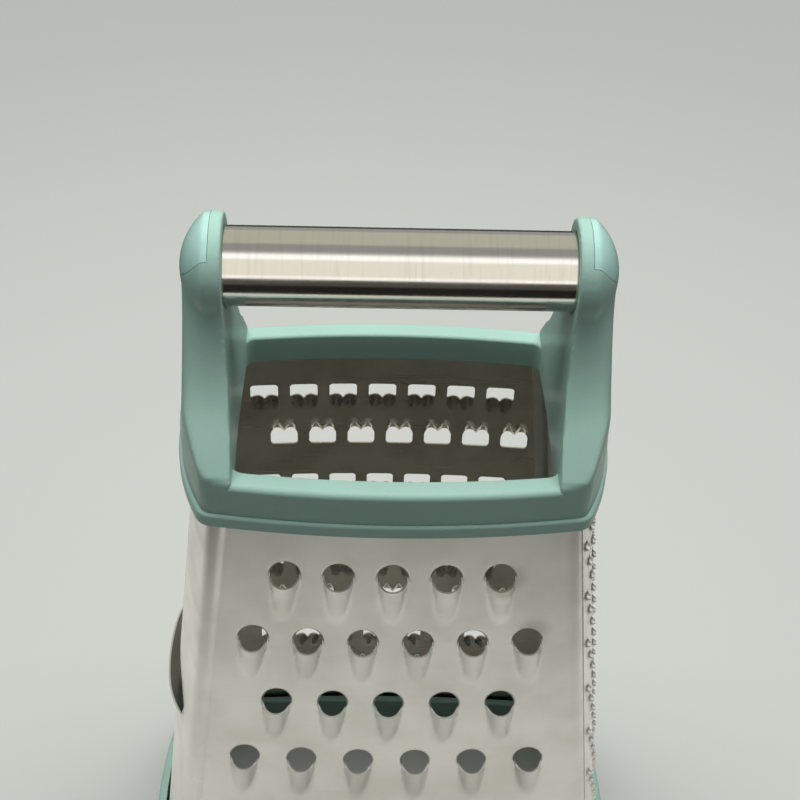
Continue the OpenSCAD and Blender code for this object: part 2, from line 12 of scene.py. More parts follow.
import bmesh
import bpy
from mathutils import Matrix, Vector


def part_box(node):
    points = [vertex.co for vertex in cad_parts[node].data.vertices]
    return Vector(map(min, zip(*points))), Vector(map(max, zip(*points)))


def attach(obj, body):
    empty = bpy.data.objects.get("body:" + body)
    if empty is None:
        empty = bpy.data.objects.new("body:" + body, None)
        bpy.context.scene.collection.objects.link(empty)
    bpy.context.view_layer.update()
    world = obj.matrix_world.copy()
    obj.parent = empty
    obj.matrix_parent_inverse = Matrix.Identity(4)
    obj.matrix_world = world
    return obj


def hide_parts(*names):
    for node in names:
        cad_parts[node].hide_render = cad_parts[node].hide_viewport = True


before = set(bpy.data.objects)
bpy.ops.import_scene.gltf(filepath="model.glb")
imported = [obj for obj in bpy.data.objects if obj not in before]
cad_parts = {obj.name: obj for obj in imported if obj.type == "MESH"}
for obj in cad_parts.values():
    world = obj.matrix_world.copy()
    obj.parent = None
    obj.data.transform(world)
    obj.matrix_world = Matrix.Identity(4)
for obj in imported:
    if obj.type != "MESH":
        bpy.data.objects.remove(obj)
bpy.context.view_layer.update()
LOG = logging.getLogger("grater")
MM = 0.001
NEAR = 0.001  # Millimetres within which two heights are one
QUARTER = math.pi / 2

Mesh = bmesh.types.BMesh
Piece = bpy.types.Object
Material = bpy.types.Material
Socket = bpy.types.NodeSocket
Triple = tuple[float, float, float]
Colour = Triple
Setting = dict[str, object]


def srgb(red: int, green: int, blue: int) -> Colour:
    """Turns a colour as a screen shows it into the linear values of a shader.

    Args:
        red: the red part, from 0 to 255.
        green: the green part.
        blue: the blue part.

    Returns:
        The linear values.
    """
    return tuple(
        c / 12.92 if c <= 0.04045 else ((c + 0.055) / 1.055) ** 2.4
        for c in (red / 255, green / 255, blue / 255)
    )


def clamped(value: float) -> float:
    """Holds a value between 0 and 1."""
    return min(1.0, max(0.0, value))


def smooth_step(low: float, high: float, value: float) -> float:
    """Rises smoothly from 0 at low to 1 at high."""
    share = clamped((value - low) / (high - low))
    return share * share * (3 - 2 * share)


# Node trees


class Value:
    """A shader socket on which Python arithmetic adds Math nodes."""

    def __init__(self, book: "NodeBook", socket: Socket) -> None:
        """Wraps one output socket of a node tree."""
        self.book = book
        self.socket = socket

    def math(self, operation: str, *others: object, first: object = None) -> "Value":
        """Adds one Math node.

        Args:
            operation: the Math node's operation.
            others: the values after the first one.
            first: what stands before this socket, where it isn't the first value.

        Returns:
            The node's result.
        """
        terms = [self, *others] if first is None else [first, self, *others]
        made = self.book.node("ShaderNodeMath", {"operation": operation}, dict(enumerate(terms)))
        return Value(self.book, made.outputs[0])

    def __add__(self, other: object) -> "Value":
        """Adds."""
        return self.math("ADD", other)

    __radd__ = __add__

    def __sub__(self, other: object) -> "Value":
        """Subtracts."""
        return self.math("SUBTRACT", other)

    def __rsub__(self, other: object) -> "Value":
        """Subtracts this from the other."""
        return self.math("SUBTRACT", first=other)

    def __mul__(self, other: object) -> "Value":
        """Multiplies."""
        return self.math("MULTIPLY", other)

    def __truediv__(self, other: object) -> "Value":
        """Divides."""
        return self.math("DIVIDE", other)

    def between(self, low: float, high: float) -> "Value":
        """Rises smoothly from 0 at low to 1 at high.

        Args:
            low: where the rise begins.
            high: where it ends.

        Returns:
            The risen value.
        """
        made = self.book.node(
            "ShaderNodeMapRange",
            {"interpolation_type": "SMOOTHSTEP"},
            {"Value": self, "From Min": low, "From Max": high},
        )
        return Value(self.book, made.outputs["Result"])


class NodeBook:
    """One node tree, written a node at a time."""

    def __init__(self, tree: bpy.types.NodeTree) -> None:
        """Empties the tree."""
        self.tree = tree
        tree.nodes.clear()

    def node(
        self, kind: str, settings: Setting | None = None, sockets: dict | None = None
    ) -> bpy.types.Node:
        """Adds one node.

        Args:
            kind: the node's type.
            settings: its properties, with a ramp's stops as a list under "stops".
            sockets: values or links of its inputs, by name or number.

        Returns:
            The node.
        """
        made = self.tree.nodes.new(kind)
        for name, value in (settings or {}).items():
            if name == "stops":
                ramp = made.color_ramp
                while len(ramp.elements) < len(value):
                    ramp.elements.new(0.5)
                for element, (place, colour) in zip(ramp.elements, value):
                    element.position = place
                    element.color = (*colour, 1.0)
            else:
                setattr(made, name, value)
        for name, value in (sockets or {}).items():
            if isinstance(value, Value):
                value = value.socket
            if isinstance(value, Socket):
                self.tree.links.new(value, made.inputs[name])
            else:
                made.inputs[name].default_value = value
        return made

    def span(self, operation: str, *places: object) -> Value:
        """Measures a place's length, or the distance of two places."""
        made = self.node("ShaderNodeVectorMath", {"operation": operation}, dict(enumerate(places)))
        return Value(self, made.outputs["Value"])

    def place(self) -> Socket:
        """Adds the object coordinates."""
        return self.node("ShaderNodeTexCoord").outputs["Object"]

    def noise(
        self, place: object, size: float, stretch: Colour = (1, 1, 1), detail: float = 2.0
    ) -> Value:
        """Adds noise on object coordinates.

        Args:
            place: the coordinates.
            size: the size of a blotch, in millimetres.
            stretch: how many times longer a blotch is along each axis.
            detail: how many finer layers it has.

        Returns:
            The noise, about one half on average.
        """
        scale = tuple(1 / (size * MM * s) for s in stretch)
        mapped = self.node("ShaderNodeMapping", None, {"Vector": place, "Scale": scale})
        sockets = {"Vector": mapped.outputs["Vector"], "Scale": 1.0, "Detail": detail}
        made = self.node("ShaderNodeTexNoise", None, {**sockets, "Roughness": 0.55})
        return Value(self, made.outputs["Fac"])

    def mix(self, share: object, first: object, second: object) -> Socket:
        """Mixes two colours.

        Args:
            share: how much of the second colour there is.
            first: a colour or a link.
            second: a colour or a link.

        Returns:
            The mixed colour's socket.
        """
        pair = [(*c, 1.0) if isinstance(c, tuple) and len(c) == 3 else c for c in (first, second)]
        made = self.node("ShaderNodeMix", {"data_type": "RGBA"}, {0: share, 6: pair[0], 7: pair[1]})
        return made.outputs[2]

    def bump(self, depth: float, height: Value, strength: float = 0.5) -> Socket:
        """Adds a bump of a depth in millimetres, and gives its normal."""
        sockets = {"Strength": strength, "Distance": depth * MM, "Height": height}
        return self.node("ShaderNodeBump", None, sockets).outputs[0]

    def surface(self, sockets: dict) -> None:
        """Adds the surface's shader and the material's output."""
        shader = self.node("ShaderNodeBsdfPrincipled", None, sockets)
        self.node("ShaderNodeOutputMaterial", None, {"Surface": shader.outputs[0]})


def new_material(name: str) -> tuple[Material, NodeBook]:
    """Makes an empty material and the book of its nodes.

    Args:
        name: its name.

    Returns:
        The material and its book.
    """
    material = bpy.data.materials.new(name)
    material.use_nodes = True
    return material, NodeBook(material.node_tree)


# Finishes


@dataclass(frozen=True)
class Look:
    """What every finish has, and how its material is built."""

    name: str
    colour: Colour

    def sockets(self, book: NodeBook, place: Socket) -> dict:
        """The inputs of the surface's shader.

        Args:
            book: the material's nodes.
            place: the object coordinates.

        Returns:
            Values or links by the input's name.
        """
        raise NotImplementedError

    def toned(self, factor: float, more: float = 0.0) -> Colour:
        """The finish's colour, lighter or darker."""
        return tuple(min(1, c * factor + more) for c in self.colour)

    def material(self) -> Material:
        """Builds the material.

        Returns:
            The material.
        """
        material, book = new_material(self.name)
        book.surface(self.sockets(book, book.place()))
        return material


@dataclass(frozen=True)
class MouldedPlastic(Look):
    """Injection-moulded plastic with a fine eroded grain and a little wear."""

    shade: Colour
    roughness: float
    coat: float
    grain: float = 0.35
    grain_depth: float = 0.05
    cloud_size: float = 26
    coat_roughness: float = 0.18
    ior: float = 1.36

    def sockets(self, book: NodeBook, place: Socket) -> dict:
        """The inputs of the surface's shader.

        Args:
            book: the material's nodes.
            place: the object coordinates.

        Returns:
            Values or links by the input's name.
        """
        cloud = book.noise(place, self.cloud_size, detail=3)
        speck = book.noise(place, self.grain, detail=2)
        fine = book.noise(place, self.grain * 3, detail=1)
        tint = book.mix((cloud - 0.35) * 1.2, self.shade, self.colour)
        light = self.toned(1.5, 0.03)
        return {
            "Base Color": book.mix(speck.between(0.56, 0.8) * 0.16, tint, light),
            "Roughness": self.roughness + (speck - 0.5) * 0.12,
            "IOR": self.ior,
            "Coat Weight": self.coat,
            "Coat Roughness": self.coat_roughness,
            "Normal": book.bump(self.grain_depth, speck + fine * 0.6),
        }


@dataclass(frozen=True)
class SheetSteel(Look):
    """Cold-rolled stainless sheet with long faint rolling lines, cloudy patches and finger marks."""

    cloud_colour: Colour
    roughness: float
    line_depth: float = 0.004
    line_size: float = 0.5
    band_size: float = 5
    cloud_size: float = 17
    smudges: tuple[tuple[float, float, float, float], ...] = ()
    smudge_colour: Colour = srgb(140, 130, 112)

    def sockets(self, book: NodeBook, place: Socket) -> dict:
        """The inputs of the surface's shader.

        Args:
            book: the material's nodes.
            place: the object coordinates.

        Returns:
            Values or links by the input's name.
        """
        lines = book.noise(place, self.line_size, (60, 60, 1), detail=3)
        bands = book.noise(place, self.band_size, (14, 14, 1), detail=2)
        cloud = book.noise(place, self.cloud_size, detail=3)
        tint = book.mix(cloud.between(0.35, 0.7) * 0.6, self.colour, self.cloud_colour)
        tint = book.mix(lines.between(0.5, 0.75) * 0.06, tint, self.toned(0.72))
        rough = self.roughness + (bands - 0.5) * 0.16 + (lines - 0.5) * 0.14 + (cloud - 0.5) * 0.12
        for x, y, z, size in self.smudges:
            middle = (x * MM, y * MM, z * MM)
            gap = book.span("DISTANCE", place, middle)
            mark = 1 - gap.between(0.55 * size * MM, size * MM)
            tint = book.mix(mark * 0.32, tint, self.smudge_colour)
            rough = rough + mark * 0.08
        bump = book.bump(self.line_depth, lines * 0.5, 0.35)
        return {"Base Color": tint, "Metallic": 1.0, "Roughness": rough, "Normal": bump}


@dataclass(frozen=True)
class BrushedSteel(Look):
    """Polished steel with short fine brush lines along one axis."""

    roughness: float
    stretch: Colour
    line_size: float = 0.16
    streak_size: float = 0.9
    cloud_size: float = 9
    line_depth: float = 0.003

    def sockets(self, book: NodeBook, place: Socket) -> dict:
        """The inputs of the surface's shader.

        Args:
            book: the material's nodes.
            place: the object coordinates.

        Returns:
            Values or links by the input's name.
        """
        lines = book.noise(place, self.line_size, self.stretch, detail=3)
        streaks = book.noise(place, self.streak_size, self.stretch, detail=2)
        cloud = book.noise(place, self.cloud_size, (2.5, 1, 1), detail=3)
        return {
            "Base Color": book.mix(streaks.between(0.45, 0.8) * 0.22, self.colour, self.toned(0.66)),
            "Metallic": 1.0,
            "Roughness": self.roughness + (lines - 0.5) * 0.16 + (cloud - 0.5) * 0.14,
            "Normal": book.bump(self.line_depth, lines + streaks * 0.5, 0.4),
        }


@dataclass(frozen=True)
class Rubber(Look):
    """Dark soft rubber with a dull pebbled face."""

    roughness: float = 0.78
    pebble_size: float = 0.5
    pebble_depth: float = 0.05
    dust_size: float = 7

    def sockets(self, book: NodeBook, place: Socket) -> dict:
        """The inputs of the surface's shader.

        Args:
            book: the material's nodes.
            place: the object coordinates.

        Returns:
            Values or links by the input's name.
        """
        pebble = book.noise(place, self.pebble_size, detail=2)
        dust = book.noise(place, self.dust_size, detail=3)
        return {
            "Base Color": book.mix(dust.between(0.4, 0.8) * 0.4, self.colour, self.toned(1.5, 0.02)),
            "Roughness": self.roughness + (pebble - 0.5) * 0.2,
            "Normal": book.bump(self.pebble_depth, pebble),
        }


class Finish(Enum):
    """The finishes of the grater's pieces."""

    MINT = MouldedPlastic("mint_moulding", srgb(149, 180, 171), srgb(140, 171, 161), 0.46, 0.1)
    CAP = MouldedPlastic("mint_cap", srgb(158, 195, 187), srgb(151, 187, 179), 0.3, 0.3, 0.5, 0.02)
    FRONT = SheetSteel(
        "coarse_sheet", srgb(214, 214, 210), srgb(199, 198, 192), 0.36,
        smudges=((31, -36, 152, 6.5), (39, -38, 133, 7)),
    )
    SIDE = SheetSteel("fine_sheet", srgb(213, 213, 210), srgb(198, 197, 192), 0.33)
    BACK = SheetSteel("ribbon_sheet", srgb(196, 192, 180), srgb(166, 160, 146), 0.24)
    TUBE = BrushedSteel("handle_steel", srgb(216, 213, 206), 0.14, (1, 14, 14))
    SCREW = BrushedSteel("screw_steel", srgb(190, 190, 188), 0.3, (10, 1, 1))
    PLUG = MouldedPlastic("plug_plastic", srgb(226, 226, 220), srgb(212, 212, 206), 0.5, 0.0)
    STRIP = Rubber("grip_rubber", srgb(84, 90, 88))


@cache
def finish_of(finish: Finish) -> Material:
    """Gives a finish's material, built the first time."""
    return finish.value.material()


# Meshes


def sorted_spin(points: Sequence[tuple[float, float]], axis_z: float, steps: int) -> Mesh:
    """Turns a line about the handle's axis.

    Args:
        points: (x, radius) of the line's points, in millimetres.
        axis_z: the axis's height.
        steps: how many steps a full turn has.

    Returns:
        The turned shape.
    """
    mesh = bmesh.new()
    line = [mesh.verts.new((x, 0, axis_z + radius)) for x, radius in points]
    edges = [mesh.edges.new(pair) for pair in zip(line, line[1:])]
    bmesh.ops.spin(
        mesh, geom=line + edges, cent=(0, 0, axis_z), axis=(1, 0, 0), dvec=(0, 0, 0),
        angle=math.tau, steps=steps, use_merge=True, use_duplicate=False,
    )
    bmesh.ops.remove_doubles(mesh, verts=mesh.verts[:], dist=0.0005)
    bmesh.ops.recalc_face_normals(mesh, faces=mesh.faces[:])
    return mesh


def extrude_loop(mesh: Mesh, loop: list, places: Iterable[Vector]) -> list:
    """Extrudes a closed loop of vertices and puts the new ones in their places.

    Args:
        mesh: the mesh.
        loop: the loop's vertices in order.
        places: where the new vertices go, in the same order.

    Returns:
        The new loop.
    """
    edges = [mesh.edges.get(pair) for pair in zip(loop, loop[1:] + loop[:1])]
    made = bmesh.ops.extrude_edge_only(mesh, edges=edges)["geom"]
    fresh = {g for g in made if isinstance(g, bmesh.types.BMVert)}
    rim = [next(o for e in v.link_edges if (o := e.other_vert(v)) in fresh) for v in loop]
    for vertex, place in zip(rim, places):
        vertex.co = place
    return rim


def new_object(name: str, mesh: Mesh, scale: float = MM) -> Piece:
    """Makes an object at the origin from a mesh in millimetres, and frees the mesh.

    Args:
        name: its name.
        mesh: the mesh, which is freed.
        scale: metres in a unit of the mesh.

    Returns:
        The object.
    """
    bmesh.ops.transform(mesh, matrix=Matrix.Scale(scale, 4), verts=mesh.verts[:])
    data = bpy.data.meshes.new(name)
    mesh.to_mesh(data)
    mesh.free()
    made = bpy.data.objects.new(name, data)
    bpy.context.scene.collection.objects.link(made)
    return made


def settle(made: Piece, sharp: float = 35.0) -> Piece:
    """Bakes an object's modifiers into its mesh, and shades it smooth except over sharp edges.

    Args:
        made: the object.
        sharp: the angle in degrees from which an edge is sharp.

    Returns:
        The object.
    """
    bpy.context.view_layer.update()
    shaped = made.evaluated_get(bpy.context.evaluated_depsgraph_get())
    data = bpy.data.meshes.new_from_object(shaped)
    made.modifiers.clear()
    old, made.data = made.data, data
    bpy.data.meshes.remove(old)
    data.name = made.name
    data.polygons.foreach_set("use_smooth", [True] * len(data.polygons))
    data.set_sharp_from_angle(angle=math.radians(sharp))
    return made


def dress(made: Piece, finish: Finish, slot: str, *nodes: str) -> Piece:
    """Gives a piece its finish and its place in the frame, and hides the CAD nodes that it stands for.

    Args:
        made: the piece.
        finish: its finish.
        slot: the name of a material slot; not used.
        nodes: the CAD nodes that it replaces.

    Returns:
        The piece.
    """
    made.data.materials.clear()
    made.data.materials.append(finish_of(finish))
    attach(made, "root")
    if nodes:
        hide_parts(*nodes)
    LOG.info("%s: %d faces, for %s", made.name, len(made.data.polygons), ", ".join(nodes) or "no node")
    return made


def cut(made: Piece, tool: Piece, operation: str) -> Piece:
    """Cuts an object with another, which is then removed.

    Args:
        made: the object.
        tool: what cuts it.
        operation: the Boolean modifier's operation.

    Returns:
        The cut object.
    """
    boolean = made.modifiers.new("cut", "BOOLEAN")
    boolean.object = tool
    boolean.operation = operation
    boolean.solver = "EXACT"
    settle(made)
    bpy.data.objects.remove(tool)
    return made


# Outlines


def arc_radius(half: float, bow: float) -> float:
    """Radius of an arc that rises by bow over a chord of twice half."""
    return (half * half + bow * bow) / (2 * bow)


@dataclass(frozen=True)
class Outline:
    """A closed outline of four outward bows and four round corners, in millimetres."""

    width: float
    depth: float
    bow: float
    side_bow: float
    corner: float
    face_steps: int = 48
    side_steps: int = 32
    corner_steps: int = 8

    def grown(self, gap: float, least: float = 0.6) -> "Outline":
        """The outline moved outwards by a gap."""
        corner = max(self.corner + gap, least)
        return Outline(self.width + 2 * gap, self.depth + 2 * gap, self.bow, self.side_bow, corner)

    def points(self) -> list[Vector]:
        """The outline's points, anticlockwise from the right side's front end.

        Returns:
            The points, in order.
        """
        front_r = arc_radius(self.width / 2, self.bow)
        side_r = arc_radius(self.depth / 2, self.side_bow)
        front_c = Vector((0, self.depth / 2 + self.bow - front_r))
        side_c = Vector((self.width / 2 + self.side_bow - side_r, 0))
        to_front, to_side = front_r - self.corner, side_r - self.corner
        gap = (side_c - front_c).length
        unit = (side_c - front_c) / gap
        along = (to_front**2 - to_side**2 + gap**2) / (2 * gap)
        up = math.sqrt(to_front**2 - along**2)
        c = front_c + unit * along + Vector((unit.y, -unit.x)) * up
        low = math.atan2(c.y, c.x - side_c.x)
        high = math.atan2(c.y - front_c.y, c.x)
        half = math.pi
        arcs = [
            (side_c, side_r, -low, low, self.side_steps),
            (c, self.corner, low, high, self.corner_steps),
            (front_c, front_r, high, half - high, self.face_steps),
            (Vector((-c.x, c.y)), self.corner, half - high, half - low, self.corner_steps),
            (-side_c, side_r, half - low, half + low, self.side_steps),
            (-c, self.corner, half + low, half + high, self.corner_steps),
            (-front_c, front_r, half + high, 2 * half - high, self.face_steps),
            (Vector((c.x, -c.y)), self.corner, 2 * half - high, 2 * half - low, self.corner_steps),
        ]
        return [
            centre + radius * Vector((math.cos(a), math.sin(a)))
            for centre, radius, start, end, steps in arcs
            for a in (start + (end - start) * i / steps for i in range(steps))
        ]


Level = tuple[Outline, float]  # An outline and its height


def closed_ring(levels: Sequence[Level]) -> Mesh:
    """Extrudes one outline through a closed round of levels.

    Args:
        levels: each level's outline and height, in order round the ring's section.

    Returns:
        The ring.
    """
    rows = [[Vector((p.x, p.y, z)) for p in outline.points()] for outline, z in levels]
    mesh = bmesh.new()
    bmesh.ops.create_circle(mesh, cap_ends=False, segments=len(rows[0]), radius=1)
    mesh.verts.ensure_lookup_table()
    loop = first = list(mesh.verts)
    for vertex, place in zip(first, rows[0]):
        vertex.co = place
    for row in rows[1:] + rows[:1]:
        loop = extrude_loop(mesh, loop, row)
    bmesh.ops.remove_doubles(mesh, verts=first + loop, dist=0.0001)
    bmesh.ops.recalc_face_normals(mesh, faces=mesh.faces[:])
    return mesh


def levels_of(base: Outline, *pairs: tuple[float, float]) -> list[Level]:
    """Levels of one outline, from pairs of growth and height."""
    return [(base.grown(gap), z) for gap, z in pairs]


def rounded(
    base: Outline, start: tuple[float, float], end: tuple[float, float], steps: int = 5, flat: bool = False
) -> list[Level]:
    """Levels of a quarter round between two levels of one outline.

    Args:
        base: the outline that grows.
        start: (growth, height) where the round starts.
        end: (growth, height) where it ends.
        steps: how many steps the round has.
        flat: whether it leaves its start sideways, and not up or down.

    Returns:
        The levels after the start, the end among them.
    """
    (g0, z0), (g1, z1) = start, end
    pairs = []
    for i in range(1, steps + 1):
        turn = QUARTER * i / steps
        early, late = math.sin(turn), 1 - math.cos(turn)
        out, up = (early, late) if flat else (late, early)
        pairs.append((g0 + (g1 - g0) * out, z0 + (z1 - z0) * up))
    return levels_of(base, *pairs)


@dataclass(frozen=True)
class Body:
    """The tapering body that the four sheets make, in millimetres."""

    lip_z: float
    neck_w: float = 94.0
    neck_d: float = 61.0
    side_lean: float = 6.0
    face_lean: float = 4.0
    side_bow: float = 6.5
    face_bow: float = 2.6
    corner: float = 3.0

    def half_w(self, z: float) -> float:
        """Half width at a height."""
        return self.neck_w / 2 + (self.lip_z - z) * math.tan(math.radians(self.side_lean))

    def half_d(self, z: float) -> float:
        """Half depth at a height."""
        return self.neck_d / 2 + (self.lip_z - z) * math.tan(math.radians(self.face_lean))

    def outline(self, z: float) -> Outline:
        """The outline of the sheets' outer faces at a height."""
        width, depth = 2 * self.half_w(z), 2 * self.half_d(z)
        return Outline(width, depth, self.face_bow, self.side_bow, self.corner)


# Frame


@dataclass
class TopFrame:
    """The moulded frame: a collar with a lip, two arms with round heads, and an end cap on each head."""

    body: Body
    rim_z: float
    axis_z: float
    half_grip: float
    tube_r: float
    lip: Outline = Outline(98.8, 66.4, 4.0, 7.9, 5.0)
    opening: Outline = Outline(82.0, 54.6, 2.8, 0.6, 3.0)
    lip_h: float = 4.0
    lip_proud: float = 0.8
    rim_soft: float = 1.7
    skirt_h: float = 8.5
    skirt_t: float = 1.3
    slot_h: float = 9.6
    fit: float = 0.1
    head_r: float = 13.5
    head_reach: float = 54.3
    dome_r: float = 17.5
    head_soft: float = 0.7
    arm_lean: float = 2.25
    arm_flare: float = 0.5
    neck_rise: float = 39.0
    neck_half: float = 12.6
    sweep_r: float = 40.0
    foot_turn: float = 42.0
    arm_set: float = 0.4
    arm_gap: float = 0.03
    arm_square: float = 9.0
    arm_round: float = 2.4
    arm_sunk: float = 3.0
    cap_line: float = 3.2
    cap_edge_r: float = 11.0
    cap_low: float = 0.5
    cap_gap: float = 0.12
    seat_gap: float = 0.12
    seat_depth: float = 1.6
    seat_over: float = 5.0
    seat_bevel: float = 0.45
    voxel: float = 0.62

    def collar(self) -> Piece:
        """Builds the collar with its lip, rim and inner skirt.

        Returns:
            The collar.
        """
        lip_z, rim_z, wall, soft = self.body.lip_z, self.rim_z, -self.lip_proud, self.rim_soft
        top, skirt_z, slot_z = lip_z + self.lip_h, rim_z - self.skirt_h, lip_z + self.slot_h
        edge, bead, inner, skirt_edge = 0.4, 0.75, 0.9, 0.3
        crease_in, crease_low, crease_high = 0.12, 0.05, 0.5
        levels = levels_of(self.lip, (-edge, lip_z), (0, lip_z + edge), (0, top - bead))
        levels += rounded(self.lip, (0, top - bead), (-bead, top))
        levels += levels_of(
            self.lip, (wall - crease_in, top + crease_low), (wall, top + crease_high), (wall, rim_z - soft)
        )
        levels += rounded(self.lip, (wall, rim_z - soft), (wall - soft, rim_z), steps=8)
        levels += levels_of(self.opening, (inner + edge, rim_z), (inner, rim_z))
        levels += rounded(self.opening, (inner, rim_z), (0, rim_z - inner), steps=6, flat=True)
        levels += levels_of(
            self.opening, (0, (rim_z + skirt_z) / 2), (0, skirt_z + skirt_edge), (skirt_edge, skirt_z),
            (self.skirt_t, skirt_z), (self.skirt_t, slot_z),
        )
        levels += levels_of(self.body.outline(lip_z), (self.fit, slot_z), (self.fit, lip_z))
        return settle(new_object("frame_collar", closed_ring(levels)), sharp=32)

    def arm_half(self, rise: float) -> float:
        """Half the arm's depth at a height above the rim.

        Args:
            rise: the height above the rim.

        Returns:
            Half the depth.
        """
        turn = math.radians(self.foot_turn)
        down = max(0.0, self.neck_rise - rise)
        arc = min(down, self.sweep_r * math.sin(turn))
        bend = self.sweep_r - math.sqrt(self.sweep_r**2 - arc**2)
        return self.neck_half + bend + (down - arc) * math.tan(turn)

    def within(self, x: float, y: float) -> Vector:
        """The place itself, or the nearest one just within the collar's wall.

        Args:
            x: how far out the place is.
            y: how far back it is.

        Returns:
            The place.
        """
        place = Vector((x, y))
        wall = [point.to_2d() for point in self.lip.grown(-self.lip_proud - self.arm_gap).points()]
        best = place
        for start, end in zip(wall, wall[1:] + wall[:1]):
            line = end - start
            if line.cross(place - start) < 0:
                share = clamped((place - start).dot(line) / line.length_squared)
                near = start + line * share
                if best is place or (near - place).length < (best - place).length:
                    best = near
        return best

    def arm_point(self, turn: float, rise: float) -> Vector:
        """A point on the arm's skin.

        Args:
            turn: the place round the section, from -90 degrees at the front to 90 at the back.
            rise: the height above the rim.

        Returns:
            The point.
        """
        share = clamped(rise / self.neck_rise)
        square = 1 - smooth_step(0.0, self.neck_rise, rise)
        power = self.arm_round + (self.arm_square - self.arm_round) * square
        size = (abs(math.cos(turn)) ** power + abs(math.sin(turn)) ** power) ** (-1 / power)
        inner = self.half_grip - self.arm_lean * (1 - share)
        climb = clamped(rise / (self.axis_z - self.rim_z))
        outer = self.head_reach - self.arm_set + self.arm_flare * math.cos(QUARTER * climb)
        y = self.arm_half(rise) * size * math.sin(turn)
        x = inner + (outer - inner) * size * max(0.0, math.cos(turn))
        place = self.within(x, y)
        return Vector((max(inner, place.x), place.y, self.rim_z + rise))

    def arm(self) -> Mesh:
        """Builds the right arm as a closed loft from inside the collar to inside the head.

        Returns:
            The arm.
        """
        steps, back, levels = 48, 12, 30
        low, high = -self.arm_sunk, self.axis_z - self.rim_z
        mesh = bmesh.new()
        bmesh.ops.create_circle(mesh, cap_ends=True, segments=steps + 1 + back, radius=1)
        mesh.verts.ensure_lookup_table()
        loop = list(mesh.verts)

        def row(rise: float) -> list[Vector]:
            """The section at a height: the rounded outer face, then the flat inner one."""
            outer = [self.arm_point(math.pi * i / steps - QUARTER, rise) for i in range(steps + 1)]
            return outer + [outer[-1].lerp(outer[0], i / (back + 1)) for i in range(1, back + 1)]

        for vertex, place in zip(loop, row(low)):
            vertex.co = place
        for k in range(1, levels + 1):
            loop = extrude_loop(mesh, loop, row(low + (high - low) * k / levels))
        mesh.faces.new(loop)
        bmesh.ops.recalc_face_normals(mesh, faces=mesh.faces[:])
        return mesh

    def head(self) -> Mesh:
        """Builds the right head: a disc with a domed outer face.

        Returns:
            The head.
        """
        soft, r, soft_steps, dome_steps = self.head_soft, self.head_r, 5, 24
        centre = self.head_reach - self.dome_r
        turn = math.asin(r / self.dome_r)
        line = [(self.half_grip, 0.0), (self.half_grip, r - soft)]
        line += [
            (self.half_grip + soft * (1 - math.cos(a)), r - soft + soft * math.sin(a))
            for a in (QUARTER * i / soft_steps for i in range(1, soft_steps + 1))
        ]
        arc = [turn * (1 - i / dome_steps) for i in range(dome_steps + 1)]
        line += [(centre + self.dome_r * math.cos(a), self.dome_r * math.sin(a)) for a in arc]
        return sorted_spin(line, self.axis_z, steps=96)

    def fused_arm(self) -> Piece:
        """Fuses the right arm with its head, with soft inner corners.

        Returns:
            The arm with its head.
        """
        arm, head = self.arm(), self.head()
        data = bpy.data.meshes.new("head")
        head.to_mesh(data)
        head.free()
        arm.from_mesh(data)
        bpy.data.meshes.remove(data)
        made = new_object("arm", arm)
        remesh = made.modifiers.new("fuse", "REMESH")
        remesh.mode = "VOXEL"
        remesh.voxel_size = self.voxel * MM
        smooth = made.modifiers.new("soften", "SMOOTH")
        smooth.factor, smooth.iterations = 0.5, 4
        return settle(made)

    def drum(
        self, start: float, end: float, radius: float, end_radius: float | None = None, rise: float = 0.0
    ) -> Piece:
        """A closed round tool along the handle, its own axis so far above the handle's.

        Args:
            start: where it begins along the handle.
            end: where it ends.
            radius: its radius.
            end_radius: its radius at the end, where that differs.
            rise: how far its axis lies above the handle's.

        Returns:
            The tool.
        """
        last = radius if end_radius is None else end_radius
        line = [(start, 0.0), (start, radius), (end, last), (end, 0.0)]
        return new_object("drum", sorted_spin(line, self.axis_z + rise, steps=128))

    def seat(self, gap: float) -> Piece:
        """The tool that parts the cap from the arm: the head's upper part, to the cap's round edge.

        Args:
            gap: how far the tool is grown.

        Returns:
            The tool.
        """
        start, end, over = self.half_grip + self.cap_line - gap, 2 * self.head_reach, 1.0
        made = self.drum(start, end, self.head_r + gap)
        edge_r, rise = self.cap_edge_r + gap, self.cap_edge_r - self.cap_low
        return cut(made, self.drum(start - over, end + over, edge_r, rise=rise), "INTERSECT")

    def arm_and_cap(self) -> tuple[Piece, Piece]:
        """Parts the right arm from its end cap and opens the tube's seat.

        Returns:
            The arm and the cap.
        """
        whole = self.fused_arm()
        cap = whole.copy()
        cap.data = whole.data.copy()
        bpy.context.scene.collection.objects.link(cap)
        gap = self.cap_gap / 2
        cut(cap, self.seat(-gap), "INTERSECT")
        cut(whole, self.seat(gap), "DIFFERENCE")
        grip, mouth, bevel = self.half_grip, self.tube_r + self.seat_gap, self.seat_bevel
        cut(whole, self.drum(grip - self.seat_over, grip + self.seat_depth, mouth), "DIFFERENCE")
        cut(whole, self.drum(grip - bevel, grip + bevel, mouth + 2 * bevel, mouth), "DIFFERENCE")
        return whole, cap

    def mirrored(self, made: Piece, name: str) -> Piece:
        """The same piece for the left side.

        Args:
            made: the right piece.
            name: the left one's name.

        Returns:
            The left piece.
        """
        mesh = bmesh.new()
        mesh.from_mesh(made.data)
        bmesh.ops.scale(mesh, vec=(-1, 1, 1), verts=mesh.verts[:])
        bmesh.ops.recalc_face_normals(mesh, faces=mesh.faces[:])
        return settle(new_object(name, mesh, 1.0))

